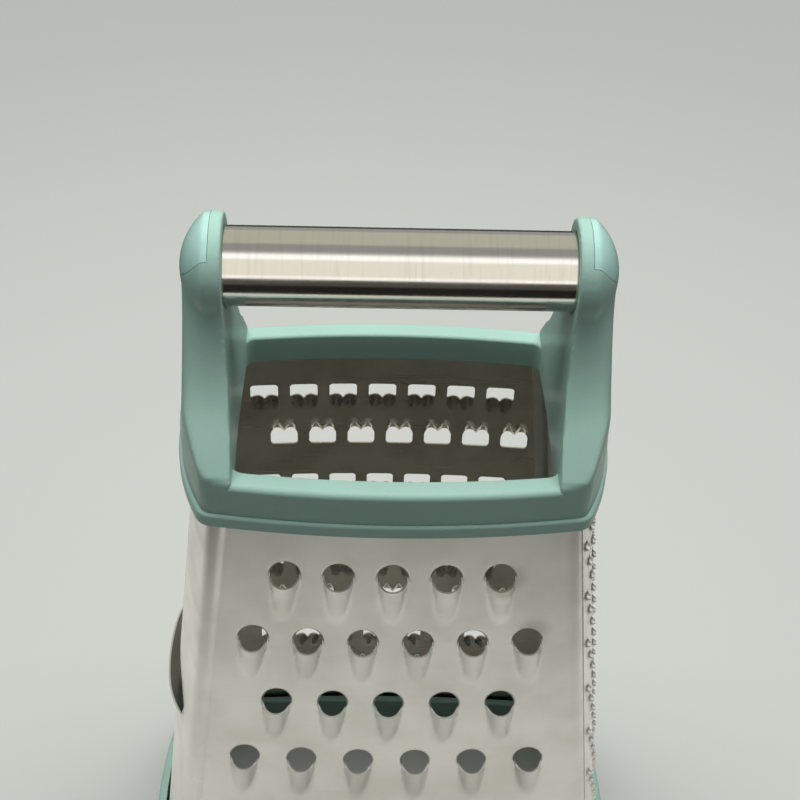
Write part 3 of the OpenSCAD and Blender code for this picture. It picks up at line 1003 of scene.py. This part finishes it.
    def build(self) -> None:
        """Builds the frame's pieces and dresses them."""
        dress(self.collar(), Finish.MINT, "mint_plastic", "top_frame")
        arm, cap = self.arm_and_cap()
        arm.name, cap.name = "right_arm", "right_cap"
        for piece in (self.mirrored(arm, "left_arm"), arm):
            dress(piece, Finish.MINT, "mint_plastic")
        dress(self.mirrored(cap, "left_cap"), Finish.CAP, "cap_plastic", "left_end_cap")
        dress(cap, Finish.CAP, "cap_plastic", "right_end_cap")


@dataclass
class Handle:
    """The steel tube, with what holds it inside the heads."""

    half_length: float
    tube_r: float
    axis_z: float
    wall: float = 0.8
    roll: float = 0.3

    def tube(self) -> Piece:
        """Builds the tube with rolled ends.

        Returns:
            The tube.
        """
        end, outer, inner = self.half_length, self.tube_r, self.tube_r - self.wall
        line = [(-end, inner + self.roll), (-end, outer - self.roll), (-end + self.roll, outer)]
        line += [(x * end / 8, outer) for x in range(-7, 8)]
        line += [(end - self.roll, outer), (end, outer - self.roll), (end, inner + self.roll)]
        line += [(end - self.roll, inner), (0, inner), (-end + self.roll, inner)]
        line += [(-end, inner + self.roll)]
        return settle(new_object("grip_tube", sorted_spin(line, self.axis_z, steps=160)))

    def build(self) -> None:
        """Builds the tube and gives the hidden fixings their finishes."""
        dress(self.tube(), Finish.TUBE, "tube_steel", "handle_tube")
        for side in ("left", "right"):
            hidden = ((f"{side}_handle_screw", Finish.SCREW), (f"{side}_tube_plug", Finish.PLUG))
            for node, finish in hidden:
                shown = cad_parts[node]
                shown.data.materials.clear()
                shown.data.materials.append(finish_of(finish))
                LOG.info("%s: the packed solid, refinished", node)


# Cutters


Place = tuple[float, float, bool]  # A cutter's column, its height, and whether it is turned over


@dataclass(frozen=True)
class Block:
    """The part of the grid that a cutter fills, from its own place: half its width, and its two borders."""

    half: float
    low: float
    high: float


@dataclass(frozen=True)
class Cutter:
    """A punched place. Its own place is the origin, x runs along the sheet and z up, in millimetres."""

    columns: int
    rows_down: int
    rows_up: int
    loops: int

    def height(self, x: float, z: float) -> float:
        """How far the sheet is raised at a place."""
        raise NotImplementedError

    def edge(self, x: float, z: float, block: Block) -> Vector:
        """The point on the hole's edge that a point on the block's border runs to.

        Args:
            x: the border point's place along the sheet.
            z: its height.
            block: the part of the grid that the cutter fills.

        Returns:
            (x, z, raised by) of the point on the hole's edge.
        """
        raise NotImplementedError

    def ease(self, share: float) -> float:
        """Where a loop lies between the border, 0, and the hole's edge, 1."""
        return share


@dataclass(frozen=True)
class CoarseCutter(Cutter):
    """A round hole whose lower half is pressed out into a hood with a cutting edge."""

    hole_half: float = 3.95
    hole_h: float = 4.9
    dish: float = 0.8
    dish_w: float = 0.85
    base_half: float = 5.2
    proud: float = 3.18
    length: float = 14.6
    narrows: float = 0.42
    lean: float = 0.5
    flare: float = 0.45
    arch_middle: float = 0.18
    arch_spread: float = 1.014
    dish_from: float = 1.6
    mouth_share: float = 0.99
    mouth_low: float = 0.66

    def arch(self, x: float) -> float:
        """The hood's height over its mouth, as a share: an arc a little more than half a circle wide.

        Args:
            x: the place along the sheet.

        Returns:
            The share.
        """
        middle = self.arch_middle * self.proud
        reach = (1 + self.arch_middle) * self.proud
        round_x = x * reach / (self.hole_half * self.arch_spread)
        return max(0.0, math.sqrt(max(0.0, reach**2 - round_x**2)) - middle) / self.proud

    def height(self, x: float, z: float) -> float:
        """The hood below the hole, falling to a round tip, and the dished sheet above it.

        Args:
            x: the place along the sheet.
            z: its height.

        Returns:
            How far the sheet is raised there.
        """
        if z > 0:
            past = math.hypot(x / self.hole_half, z / self.hole_h) - 1
            share = clamped(past * (self.hole_half + self.hole_h) / 2 / self.dish_w)
            return -self.dish * (1 - share) ** 2 * smooth_step(0, self.dish_from, z)
        share = -z / self.length
        if share >= 1:
            return 0.0
        half = self.base_half * (1 - self.narrows * share) * math.sqrt(max(0.0, 1 - share**5))
        across = abs(x) / max(half, 1e-6)
        if across >= 1:
            return 0.0
        start = self.lean * self.proud / self.length
        fall = min(1.0, (1 - share) / (1 - start)) ** 0.95
        arch, skirt = self.arch(across * self.base_half), self.flare * (1 - across) ** 1.5
        return self.proud * fall * (arch**4 + skirt**4) ** 0.25

    def mouth(self, x: float) -> Vector:
        """A point on the cutting edge."""
        raised = self.proud * self.arch(x)
        return Vector((x, -self.lean * raised, raised))

    def edge(self, x: float, z: float, block: Block) -> Vector:
        """The hole's upper arc, or the cutting edge of the hood below it.

        Args:
            x: the border point's place along the sheet.
            z: its height.
            block: the part of the grid that the cutter fills.

        Returns:
            (x, z, raised by) of the point on the hole's edge.
        """
        if z >= 0:
            turn = math.atan2(z / block.high, x / block.half)
            point = Vector((self.hole_half * math.cos(turn), self.hole_h * math.sin(turn)))
            return Vector((point.x, point.y, -self.dish * smooth_step(0, self.dish_from, point.y)))
        if z <= block.low + NEAR:
            share = self.mouth_low * x / block.half
        else:
            share = math.copysign(1 - (1 - self.mouth_low) * (z / block.low) ** 0.7, x)
        return self.mouth(self.hole_half * self.mouth_share * share)

    def ease(self, share: float) -> float:
        """Puts more loops near the cutting edge."""
        return 1 - (1 - share) ** 1.3


@dataclass(frozen=True)
class RibbonCutter(Cutter):
    """A low slot with two small arches along one of its long edges."""

    slot_half: float = 3.97
    slot_h: float = 5.5
    round_r: float = 1.0
    proud: float = 1.5
    length: float = 4.6
    narrows: float = 0.45
    corner_share: float = 0.7

    def height(self, x: float, z: float) -> float:
        """The two arches below the slot.

        Args:
            x: the place along the sheet.
            z: its height.

        Returns:
            How far the sheet is raised there.
        """
        share = clamped((-z - self.slot_h / 2) / self.length)
        if z > -self.slot_h / 2 + 0.01 or share >= 1:
            return 0.0
        middle = self.slot_half / 2
        across = abs(abs(x) - middle) / (middle * (1 - self.narrows * share))
        if across >= 1:
            return 0.0
        return self.proud * (1 - share**1.4) * (1 - across**2) ** 0.7

    def edge(self, x: float, z: float, block: Block) -> Vector:
        """The slot's rounded edge, raised along its lower side.

        Args:
            x: the border point's place along the sheet.
            z: its height.
            block: the part of the grid that the cutter fills.

        Returns:
            (x, z, raised by) of the point on the hole's edge.
        """
        reach, corner = self.slot_h / 2, self.round_r * self.corner_share
        if block.low + NEAR < z < block.high - NEAR:
            share = (z - block.low) / (block.high - block.low)
            return Vector((math.copysign(self.slot_half, x), (reach - corner) * (2 * share - 1), 0.0))
        along = self.slot_half * x / block.half
        over = max(0.0, abs(along) - (self.slot_half - self.round_r))
        drop = min(corner, self.round_r - math.sqrt(max(0.0, self.round_r**2 - over**2)))
        if z > 0:
            return Vector((along, reach - drop, 0.0))
        return Vector((along, drop - reach, self.height(along, -reach)))

    def ease(self, share: float) -> float:
        """Puts more loops near the slot."""
        return 1 - (1 - share) ** 1.2


@dataclass(frozen=True)
class FineCutter(Cutter):
    """A punched point: a small burst cone with a ragged hole."""

    base_r: float = 1.75
    hole_r: float = 0.6
    proud: float = 1.35
    teeth: int = 4
    torn: float = 0.28

    def height(self, x: float, z: float) -> float:
        """A cone with hollow flanks."""
        share = clamped((self.base_r - math.hypot(x, z)) / (self.base_r - self.hole_r))
        return self.proud * share**1.5

    def edge(self, x: float, z: float, block: Block) -> Vector:
        """The ragged edge of the hole, torn into four points.

        Args:
            x: the border point's place along the sheet.
            z: its height.
            block: the part of the grid that the cutter fills.

        Returns:
            (x, z, raised by) of the point on the hole's edge.
        """
        turn = math.atan2(z, x)
        tooth = 0.5 + 0.5 * math.cos(self.teeth * turn)
        raised = self.proud * (1 - self.torn * (1 - tooth))
        return Vector((self.hole_r * math.cos(turn), self.hole_r * math.sin(turn), raised))


@dataclass(frozen=True)
class SlicerCutter(Cutter):
    """A wide slot whose lower edge is a raised blade."""

    half_w: float = 25.0
    gap: float = 3.4
    proud: float = 3.0
    length: float = 15.0
    dish: float = 0.9
    dish_h: float = 7.0
    run_out: float = 1.5

    def height(self, x: float, z: float) -> float:
        """The blade's lip below the slot, and the dished sheet above it.

        Args:
            x: the place along the sheet.
            z: its height.

        Returns:
            How far the sheet is raised there.
        """
        across = min(1.0, abs(x) / (self.half_w + self.run_out))
        arch = (1 - across**4) ** 1.2
        if z <= self.gap / 2:
            share = clamped(-z / self.length)
            return self.proud * (1 - share) ** 1.15 * arch
        share = clamped((z - self.gap) / self.dish_h)
        return -self.dish * (1 - share) ** 2 * arch

    def edge(self, x: float, z: float, block: Block) -> Vector:
        """The slot's edge: the blade below, the dished edge above.

        Args:
            x: the border point's place along the sheet.
            z: its height.
            block: the part of the grid that the cutter fills.

        Returns:
            (x, z, raised by) of the point on the hole's edge.
        """
        if z >= block.high - NEAR or z <= block.low + NEAR:
            along, level = self.half_w * x / block.half, self.gap if z > 0 else 0.0
            return Vector((along, level, self.height(along, level)))
        share = (z - block.low) / (block.high - block.low)
        top, bottom = self.height(self.half_w, self.gap), self.height(self.half_w, 0.0)
        raised = bottom + (top - bottom) * share
        return Vector((math.copysign(self.half_w, x), self.gap * share, raised))


# Sheets


def bowed(reach: float, half: float, bow: float, along: float) -> float:
    """How far a bowed side lies from the middle, at a place along it."""
    return reach + bow * (1 - along * along / (half * half))


@dataclass
class Sheet:
    """One steel sheet: its own face, a corner, and a flange under the next sheet.

    The sheet is first drawn flat, as (column, height, raised by), and then laid on the body.
    Columns count from the face's middle, and the cutters' rows and columns lie on the grid's lines.
    A column's width is in millimetres, or a share of the face's half width where the columns spread.
    The joggle, by which the flange sinks under the next sheet, is a share of the flange's width.
    """

    name: str
    quarter: int
    finish: Finish
    body: Body
    low_z: float
    top_z: float
    left: int
    right: int
    column: float
    row: float
    row_z: float
    cutter: Cutter
    places: list[Place]
    spreads: bool = True
    shift: float = 0.0
    seam_in: float = 4.5
    lap_w: float = 2.5
    thick: float = 0.5
    lap_gap: float = 0.05
    joggle: float = 0.25
    end_steps: int = 3
    corner_steps: int = 7
    flange_steps: int = 6

    @property
    def is_face(self) -> bool:
        """Whether it is one of the two wide sheets."""
        return self.quarter % 2 == 0

    def half(self, z: float) -> float:
        """Half the face's width at a height."""
        return self.body.half_w(z) if self.is_face else self.body.half_d(z)

    def reach(self, z: float) -> float:
        """How far the face's corners lie from the middle at a height."""
        return self.body.half_d(z) if self.is_face else self.body.half_w(z)

    def pitch(self, z: float) -> float:
        """How wide a column is at a height."""
        return self.column * (self.half(z) if self.spreads else 1.0)

    def across(self, column: float, z: float) -> float:
        """Where a column lies along the face."""
        return column * self.pitch(z) + self.shift

    def bows(self) -> tuple[float, float]:
        """The bow of the sheet's own face and of the next one."""
        pair = (self.body.face_bow, self.body.side_bow)
        return pair if self.is_face else pair[::-1]

    def line(self, column: float, z: float) -> tuple[Vector, Vector]:
        """The sheet's line at a height.

        Args:
            column: the place along the grid.
            z: the height.

        Returns:
            The point on the outer face and the outward direction, seen from above.
        """
        a, b = self.half(z), self.reach(z)
        own, after = self.bows()
        first, last = -(a - self.seam_in), a - self.body.corner
        if column <= self.right + self.end_steps:
            if column < -self.left:
                share = (-self.left - column) / self.end_steps
                x = self.across(-self.left, z) * (1 - share) + first * share
            elif column > self.right:
                share = (column - self.right) / self.end_steps
                x = self.across(self.right, z) * (1 - share) + last * share
            else:
                x = self.across(column, z)
            slope = 2 * own * x / (a * a)
            return Vector((x, -bowed(b, a, own, x))), Vector((slope, -1)).normalized()
        past = column - self.right - self.end_steps
        y2 = -(b - self.body.corner)
        p0 = Vector((last, -bowed(b, a, own, last)))
        p2 = Vector((bowed(a, b, after, y2), y2))
        m0, m2 = 2 * own * last / (a * a), -2 * after * y2 / (b * b)
        t = (p2.x - p0.x - m2 * (p2.y - p0.y)) / (1 - m0 * m2)
        p1 = p0 + Vector((t, t * m0))
        if past <= self.corner_steps:
            s = past / self.corner_steps
            point = p0 * (1 - s) ** 2 + p1 * 2 * s * (1 - s) + p2 * s * s
            run = (p1 - p0) * (1 - s) + (p2 - p1) * s
            return point, Vector((run.y, -run.x)).normalized()
        s = (past - self.corner_steps) / self.flange_steps
        y = y2 + (self.seam_in + self.lap_w - self.body.corner) * s
        sunk = (self.thick + self.lap_gap) * smooth_step(0, self.joggle, s)
        slope = -2 * after * y / (b * b)
        out = Vector((1, -slope)).normalized()
        return Vector((bowed(a, b, after, y), y)) - out * sunk, out

    def laid(self, flat: Vector) -> Vector:
        """Lays a flat point (column, height, raised by) on the body.

        Args:
            flat: the flat point.

        Returns:
            The place on the body.
        """
        point, out = self.line(flat.x, flat.y)
        lean = math.radians(self.body.face_lean if self.is_face else self.body.side_lean)
        rise = Vector((out.x * math.cos(lean), out.y * math.cos(lean), math.sin(lean)))
        return Vector((point.x, point.y, flat.y)) + rise * flat.z

    def grid(self) -> Mesh:
        """Builds the flat grid, its lines on the cutters' rows and columns.

        Returns:
            The grid.
        """
        left = self.left + self.end_steps
        right = self.right + self.end_steps + self.corner_steps + self.flange_steps
        down = math.ceil((self.row_z - self.low_z) / self.row)
        up = math.ceil((self.top_z - self.row_z) / self.row)
        mesh = bmesh.new()
        bmesh.ops.create_grid(mesh, x_segments=left + right, y_segments=down + up, size=0.5)
        for vertex in mesh.verts:
            i = round((vertex.co.x + 0.5) * (left + right)) - left
            j = round((vertex.co.y + 0.5) * (down + up)) - down
            z = min(self.top_z, max(self.low_z, self.row_z + j * self.row))
            vertex.co = (i, z, 0)
        return mesh

    def punch(self, mesh: Mesh, verts: dict, place: Place) -> None:
        """Punches one cutter into the flat grid.

        Args:
            mesh: the flat grid.
            verts: the grid's vertices by column and row.
            place: the cutter's place.
        """
        (column, z, upside_down), tool = place, self.cutter
        row = round((z - self.row_z) / self.row)
        down, up = (tool.rows_up, tool.rows_down) if upside_down else (tool.rows_down, tool.rows_up)
        left, right = round(column) - tool.columns, round(column) + tool.columns
        low, high = row - down, row + up
        ring = [(i, low) for i in range(left, right)] + [(right, j) for j in range(low, high)]
        ring += [(i, high) for i in range(right, left, -1)] + [(left, j) for j in range(high, low, -1)]
        loop = [verts[key] for key in ring]
        inside = {verts[(i, j)] for i in range(left, right + 1) for j in range(low, high + 1)}
        faces = {f for v in inside for f in v.link_faces if all(c in inside for c in f.verts)}
        bmesh.ops.delete(mesh, geom=list(faces), context="FACES")
        flip = -1 if upside_down else 1
        wide = self.pitch(z)
        block = Block(tool.columns * wide, -tool.rows_down * self.row, tool.rows_up * self.row)
        starts = [Vector(((v.co.x - column) * wide, flip * (v.co.y - z))) for v in loop]
        ends = [tool.edge(p.x, p.y, block) for p in starts]
        for k in range(1, tool.loops + 1):
            share = tool.ease(k / tool.loops)
            places = []
            for start, end in zip(starts, ends):
                p = start.lerp(Vector((end.x, end.y)), share)
                raised = end.z if k == tool.loops else tool.height(p.x, p.y)
                places.append(Vector((column + p.x / wide, z + flip * p.y, raised)))
            loop = extrude_loop(mesh, loop, places)

    def build(self) -> Piece:
        """Builds the sheet and dresses it.

        Returns:
            The dressed sheet.
        """
        mesh = self.grid()
        verts = {(round(v.co.x), round((v.co.y - self.row_z) / self.row)): v for v in mesh.verts}
        for place in self.places:
            self.punch(mesh, verts, place)
        for vertex in mesh.verts:
            vertex.co = self.laid(vertex.co)
        bmesh.ops.recalc_face_normals(mesh, faces=mesh.faces[:])
        mesh.normal_update()
        mesh.faces.ensure_lookup_table()
        if sum(f.normal.y * f.calc_area() for f in mesh.faces) > 0:
            bmesh.ops.reverse_faces(mesh, faces=mesh.faces[:])
        turn = Matrix.Rotation(QUARTER * self.quarter, 3, "Z")
        bmesh.ops.rotate(mesh, cent=(0, 0, 0), matrix=turn, verts=mesh.verts[:])
        made = new_object(f"{self.name}_sheet", mesh)
        wall = made.modifiers.new("wall", "SOLIDIFY")
        wall.thickness, wall.offset = self.thick * MM, -1
        return dress(settle(made, sharp=38), self.finish, "sheet_steel", f"{self.name}_panel")


def rows(count: int, drop: float, step: float, rim_z: float) -> list[float]:
    """Heights of the rows of cutters."""
    return [rim_z - drop - step * i for i in range(count)]


def staggered(heights: list[float], few: int, per: int) -> list[Place]:
    """Places in centred rows that hold few and one more by turns, so many columns apart.

    Args:
        heights: the rows' heights.
        few: how many places the first row has.
        per: how many columns apart they are.

    Returns:
        The places, a row at a time.
    """
    return [
        ((i - (n - 1) / 2) * per, z, False)
        for k, z in enumerate(heights) for n in (few + k % 2,) for i in range(n)
    ]


@dataclass
class CuttingBody:
    """The four sheets, each turned a quarter from the last."""

    body: Body
    rim_z: float
    low_z: float
    top_z: float

    def sheet(self, name: str, quarter: int, finish: Finish, **grid: object) -> Sheet:
        """One sheet on the body, turned by so many quarters."""
        return Sheet(name, quarter, finish, self.body, self.low_z, self.top_z, **grid)

    def front(self) -> Sheet:
        """Lays out the coarse sheet, with five and six holes a row by turns.

        Returns:
            The sheet, not built yet.
        """
        per, lines, drop, step, pitch = 16, 20, 31.6, 23.2, 13.6
        heights = rows(6, drop, step, self.rim_z)
        return self.sheet(
            "coarse", 0, Finish.FRONT, left=48, right=48, row=step / lines, row_z=heights[0],
            column=pitch / per / self.body.half_w(self.body.lip_z),
            cutter=CoarseCutter(columns=7, rows_down=14, rows_up=5, loops=9),
            places=staggered(heights, 5, per),
        )

    def right(self) -> Sheet:
        """Lays out the fine sheet, with six and seven points a row by turns.

        Returns:
            The sheet, not built yet.
        """
        per, lines, drop, step, pitch = 8, 9, 20.0, 9.0, 7.6
        heights = rows(16, drop, step, self.rim_z)
        return self.sheet(
            "fine", 1, Finish.SIDE, left=27, right=27, row=step / lines, row_z=heights[0],
            column=pitch / per / self.body.half_d(self.body.lip_z),
            cutter=FineCutter(columns=2, rows_down=2, rows_up=2, loops=4),
            places=staggered(heights, 6, per),
        )

    def back(self) -> Sheet:
        """Lays out the ribbon sheet, with its rows shifted and turned over by turns.

        Returns:
            The sheet, not built yet.
        """
        per, lines, drop, step, pitch = 19, 14, 22.6, 18.6, 11.4
        slots, first_shift, next_shift = 7, 5, -4
        heights = rows(8, drop, step, self.rim_z)
        places = [
            ((i - slots // 2) * per + (next_shift if k % 2 else first_shift), z, k % 2 == 1)
            for k, z in enumerate(heights) for i in range(slots)
        ]
        column = pitch / per
        return self.sheet(
            "ribbon", 2, Finish.BACK, left=68, right=69, row=step / lines, row_z=heights[0],
            column=column, spreads=False, shift=-column / 2, places=places,
            cutter=RibbonCutter(columns=7, rows_down=6, rows_up=3, loops=7),
        )

    def left(self) -> Sheet:
        """Lays out the slicing sheet, with one wide slot.

        Returns:
            The sheet, not built yet.
        """
        drop = 98.0
        z = self.rim_z - drop
        return self.sheet(
            "slicer", 3, Finish.SIDE, left=29, right=29, row=1.25, row_z=z,
            column=1 / self.body.half_d(z), places=[(0, z, False)],
            cutter=SlicerCutter(columns=27, rows_down=13, rows_up=9, loops=9),
        )

    def build(self) -> None:
        """Builds the four sheets."""
        for sheet in (self.front(), self.right(), self.back(), self.left()):
            sheet.build()


@dataclass
class BaseRing:
    """The moulded ring round the foot, and the rubber strips in its underside."""

    body: Body
    low_z: float
    ring_z: float
    top_z: float
    wall: float = 2.8
    inner: float = 3.65
    groove: float = 1.2
    fit: float = 0.1
    soft: float = 1.2
    edge: float = 0.4
    strip_edge: float = 0.5

    def ring(self) -> Piece:
        """Builds the ring with the groove in which the sheets stand.

        Returns:
            The ring.
        """
        base, upper = self.body.outline(self.low_z), self.body.outline(self.top_z)
        wall, soft, edge, inner, groove = self.wall, self.soft, self.edge, -self.inner, -self.groove
        low_z, ring_z, top_z = self.low_z, self.ring_z, self.top_z
        levels = levels_of(base, (wall - soft, ring_z))
        levels += rounded(base, (wall - soft, ring_z), (wall, ring_z + soft), flat=True)
        levels += levels_of(base, (wall, top_z - soft))
        levels += rounded(base, (wall, top_z - soft), (wall - soft, top_z))
        levels += levels_of(base, (self.fit, top_z), (self.fit, low_z))
        levels += levels_of(
            upper, (groove, low_z), (groove, top_z - edge), (groove - edge, top_z), (inner + edge, top_z),
            (inner, top_z - edge), (inner, ring_z + edge), (inner + edge, ring_z),
        )
        return settle(new_object("foot_ring", closed_ring(levels)), sharp=32)

    def strip(self, side: str) -> Piece:
        """Builds one rubber strip in the place of its solid.

        Args:
            side: the side of the ring that it lies in.

        Returns:
            The strip.
        """
        low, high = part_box(f"{side}_grip_strip")
        mesh = bmesh.new()
        bmesh.ops.create_cube(mesh, size=1.0)
        bmesh.ops.scale(mesh, vec=(high - low) / MM, verts=mesh.verts[:])
        bmesh.ops.translate(mesh, vec=(low + high) / 2 / MM, verts=mesh.verts[:])
        bmesh.ops.bevel(
            mesh, geom=mesh.edges[:], offset=self.strip_edge, offset_type="OFFSET", affect="EDGES",
            segments=3, profile=0.5, material=-1,
        )
        return settle(new_object(f"{side}_strip", mesh))

    def build(self) -> None:
        """Builds the ring and its strips."""
        dress(self.ring(), Finish.MINT, "mint_plastic", "base_ring")
        for side in ("front", "back", "left", "right"):
            dress(self.strip(side), Finish.STRIP, "grip_rubber", f"{side}_grip_strip")


# Studio


@dataclass
class Studio:
    """Floor, soft light, backdrop and camera."""

    backdrop: Colour = srgb(200, 202, 199)
    floor_r: float = 3.0
    cloud_size: float = 400
    floor_colour: Colour = srgb(181, 183, 179)
    near_colour: Colour = srgb(209, 209, 203)
    far_colour: Colour = srgb(40, 38, 34)
    bounce_colour: Colour = srgb(122, 124, 121)
    gleam_r: tuple[float, float] = (0.20, 0.34)
    haze_r: tuple[float, float] = (0.4, 1.1)
    gleam: float = 1.5
    ambient: Colour = srgb(139, 140, 140)
    lamp_place: Triple = (0.0, 0.15, 0.95)
    lamp_aim: Triple = (0.0, 0.0, 0.18)
    lamp_size: tuple[float, float] = (0.9, 0.6)
    lamp_watts: float = 12.4
    lamp_colour: Colour = (1.0, 0.995, 0.98)
    flag_place: Triple = (0.0, -0.052, 0.193)
    flag_size: tuple[float, float] = (0.13, 0.036)
    lens: float = 71.225
    elevation: float = 39.438
    yaw: float = -2.028
    roll: float = 2.197
    distance: float = 418.532
    target: Triple = (1.314, 0.0, 184.342)

    def floor(self) -> None:
        """Lays the pale floor, dark further off for the metal, and duller for its bounced light."""
        mesh = bmesh.new()
        bmesh.ops.create_circle(mesh, cap_ends=True, segments=96, radius=self.floor_r)
        made = new_object("floor", mesh, 1.0)
        material, book = new_material("pale_floor")
        place = book.place()
        cloud = book.noise(place, self.cloud_size, detail=1)
        shade = tuple(c * 0.97 for c in self.floor_colour)
        tint = book.mix(cloud * 0.5, self.floor_colour, shade)
        ray = book.node("ShaderNodeLightPath")
        reach = book.span("LENGTH", place)
        far = reach.between(*self.gleam_r)
        haze = reach.between(*self.haze_r) * ray.outputs["Is Camera Ray"]
        gleam = book.mix(far, self.near_colour, self.far_colour)
        tint = book.mix(ray.outputs["Is Camera Ray"], self.bounce_colour, tint)
        tint = book.mix(ray.outputs["Is Glossy Ray"], tint, gleam)
        lit = book.node("ShaderNodeBsdfPrincipled", None, {"Base Color": tint, "Roughness": 0.7})
        glow = book.node("ShaderNodeEmission", None, {"Color": (*self.backdrop, 1.0), "Strength": 1.0})
        shader = book.node("ShaderNodeMixShader", None, {0: haze, 1: lit.outputs[0], 2: glow.outputs[0]})
        book.node("ShaderNodeOutputMaterial", None, {"Surface": shader.outputs[0]})
        made.data.materials.append(material)

    def world(self) -> None:
        """Sets the even surrounding light, and the backdrop that the camera and the metal see."""
        world = bpy.data.worlds.new("studio")
        bpy.context.scene.world = world
        world.use_nodes = True
        book = NodeBook(world.node_tree)
        ray = book.node("ShaderNodeLightPath")
        seen = Value(book, ray.outputs["Is Camera Ray"])
        gloss = Value(book, ray.outputs["Is Glossy Ray"])
        place = book.node("ShaderNodeTexCoord").outputs["Generated"]
        parts = book.node("ShaderNodeSeparateXYZ", None, {0: place})
        front = Value(book, parts.outputs["Y"]) * -1.0
        turn = Value(book, parts.outputs["Z"]).math("ARCTAN2", front) / math.pi
        warm, pale = (1.1, 1.06, 0.95), (0.6, 0.6, 0.5)
        white, grey, dim = (1.5, 1.5, 1.5), (0.38, 0.38, 0.36), (0.4, 0.4, 0.4)
        bands = [
            (-20, (0.1, 0.09, 0.06)), (-3, (0.12, 0.1, 0.06)), (0, white), (5, white), (9, warm),
            (52, warm), (56, white), (66, white), (70, (0.97, 0.96, 0.95)), (75, (0.5, 0.49, 0.46)),
            (80, grey), (98, grey), (104, pale), (156, pale), (160, dim), (178, dim),
        ]
        sky = book.node(
            "ShaderNodeValToRGB",
            {"stops": [((a / 180 + 0.2) / 1.2, tuple(v / self.gleam for v in c)) for a, c in bands]},
            {"Fac": (turn + 0.2) / 1.2},
        ).outputs[0]
        tint = book.mix(gloss, self.ambient, sky)
        tint = book.mix(seen, tint, self.backdrop)
        strength = gloss * (self.gleam - 1) + 1
        shader = book.node("ShaderNodeBackground", None, {"Color": tint, "Strength": strength})
        book.node("ShaderNodeOutputWorld", None, {"Surface": shader.outputs[0]})

    def lamp(self) -> None:
        """Hangs the soft lamp, which the camera and the metal don't see."""
        light = bpy.data.lights.new("top_light", "AREA")
        light.shape, light.size, light.size_y = "RECTANGLE", *self.lamp_size
        light.energy, light.color = self.lamp_watts, self.lamp_colour
        made = bpy.data.objects.new("top_light", light)
        bpy.context.scene.collection.objects.link(made)
        made.location = self.lamp_place
        made.rotation_mode = "QUATERNION"
        aim = Vector(self.lamp_aim) - Vector(self.lamp_place)
        made.rotation_quaternion = aim.to_track_quat("-Z", "Y")
        made.visible_camera = made.visible_glossy = False

    def flag(self) -> None:
        """Hangs a dark flag before the handle that only reflections show, for the tube's dark band."""
        mesh = bmesh.new()
        bmesh.ops.create_grid(mesh, x_segments=1, y_segments=1, size=0.5)
        bmesh.ops.scale(mesh, vec=(*self.flag_size, 1), verts=mesh.verts[:])
        upright = Matrix.Rotation(QUARTER, 3, "X")
        bmesh.ops.rotate(mesh, cent=(0, 0, 0), matrix=upright, verts=mesh.verts[:])
        bmesh.ops.translate(mesh, vec=self.flag_place, verts=mesh.verts[:])
        made = new_object("flag", mesh, 1.0)
        material, book = new_material("black_felt")
        book.surface({"Base Color": (*self.far_colour, 1.0), "Roughness": 1.0})
        made.data.materials.append(material)
        made.visible_camera = made.visible_diffuse = False
        made.visible_shadow = made.visible_transmission = False

    def camera(self) -> None:
        """Sets the camera at the photograph's view."""
        up, yaw, roll = (math.radians(a) for a in (self.elevation, self.yaw, self.roll))
        ahead = Vector((-math.sin(yaw) * math.cos(up), math.cos(yaw) * math.cos(up), -math.sin(up)))
        level = ahead.cross(Vector((0, 0, 1))).normalized()
        above = level.cross(ahead)
        right = level * math.cos(roll) + above * math.sin(roll)
        over = above * math.cos(roll) - level * math.sin(roll)
        place = (Vector(self.target) - ahead * self.distance) * MM
        data = bpy.data.cameras.new("camera")
        data.lens, data.sensor_width = self.lens, 36.0
        data.clip_start, data.clip_end = 0.01, 20.0
        made = bpy.data.objects.new("camera", data)
        bpy.context.scene.collection.objects.link(made)
        turn = Matrix((right, over, -ahead)).transposed()
        made.matrix_world = Matrix.Translation(place) @ turn.to_4x4()
        bpy.context.scene.camera = made

    def build(self) -> None:
        """Builds the studio."""
        self.floor()
        self.world()
        self.lamp()
        self.flag()
        self.camera()
        bpy.context.scene.view_settings.view_transform = "Standard"


def main() -> None:
    """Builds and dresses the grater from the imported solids, then the studio."""
    logging.basicConfig(level=logging.INFO, format="%(message)s", stream=sys.stdout)
    tube_low, tube_high = (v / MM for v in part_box("handle_tube"))
    sheet_low, sheet_high = (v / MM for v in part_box("coarse_panel"))
    ring_low, ring_high = (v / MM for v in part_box("base_ring"))
    collar_h, grip_rise, socket = 13.7, 43.5, 3.9
    axis_z = (tube_low.z + tube_high.z) / 2
    rim_z = axis_z - grip_rise
    tube_r = (tube_high.z - tube_low.z) / 2
    body = Body(rim_z - collar_h)
    TopFrame(body, rim_z, axis_z, tube_high.x - socket, tube_r).build()
    Handle(tube_high.x, tube_r, axis_z).build()
    CuttingBody(body, rim_z, sheet_low.z, sheet_high.z).build()
    BaseRing(body, sheet_low.z, ring_low.z, ring_high.z).build()
    Studio().build()


if __name__ == "__main__":
    main()
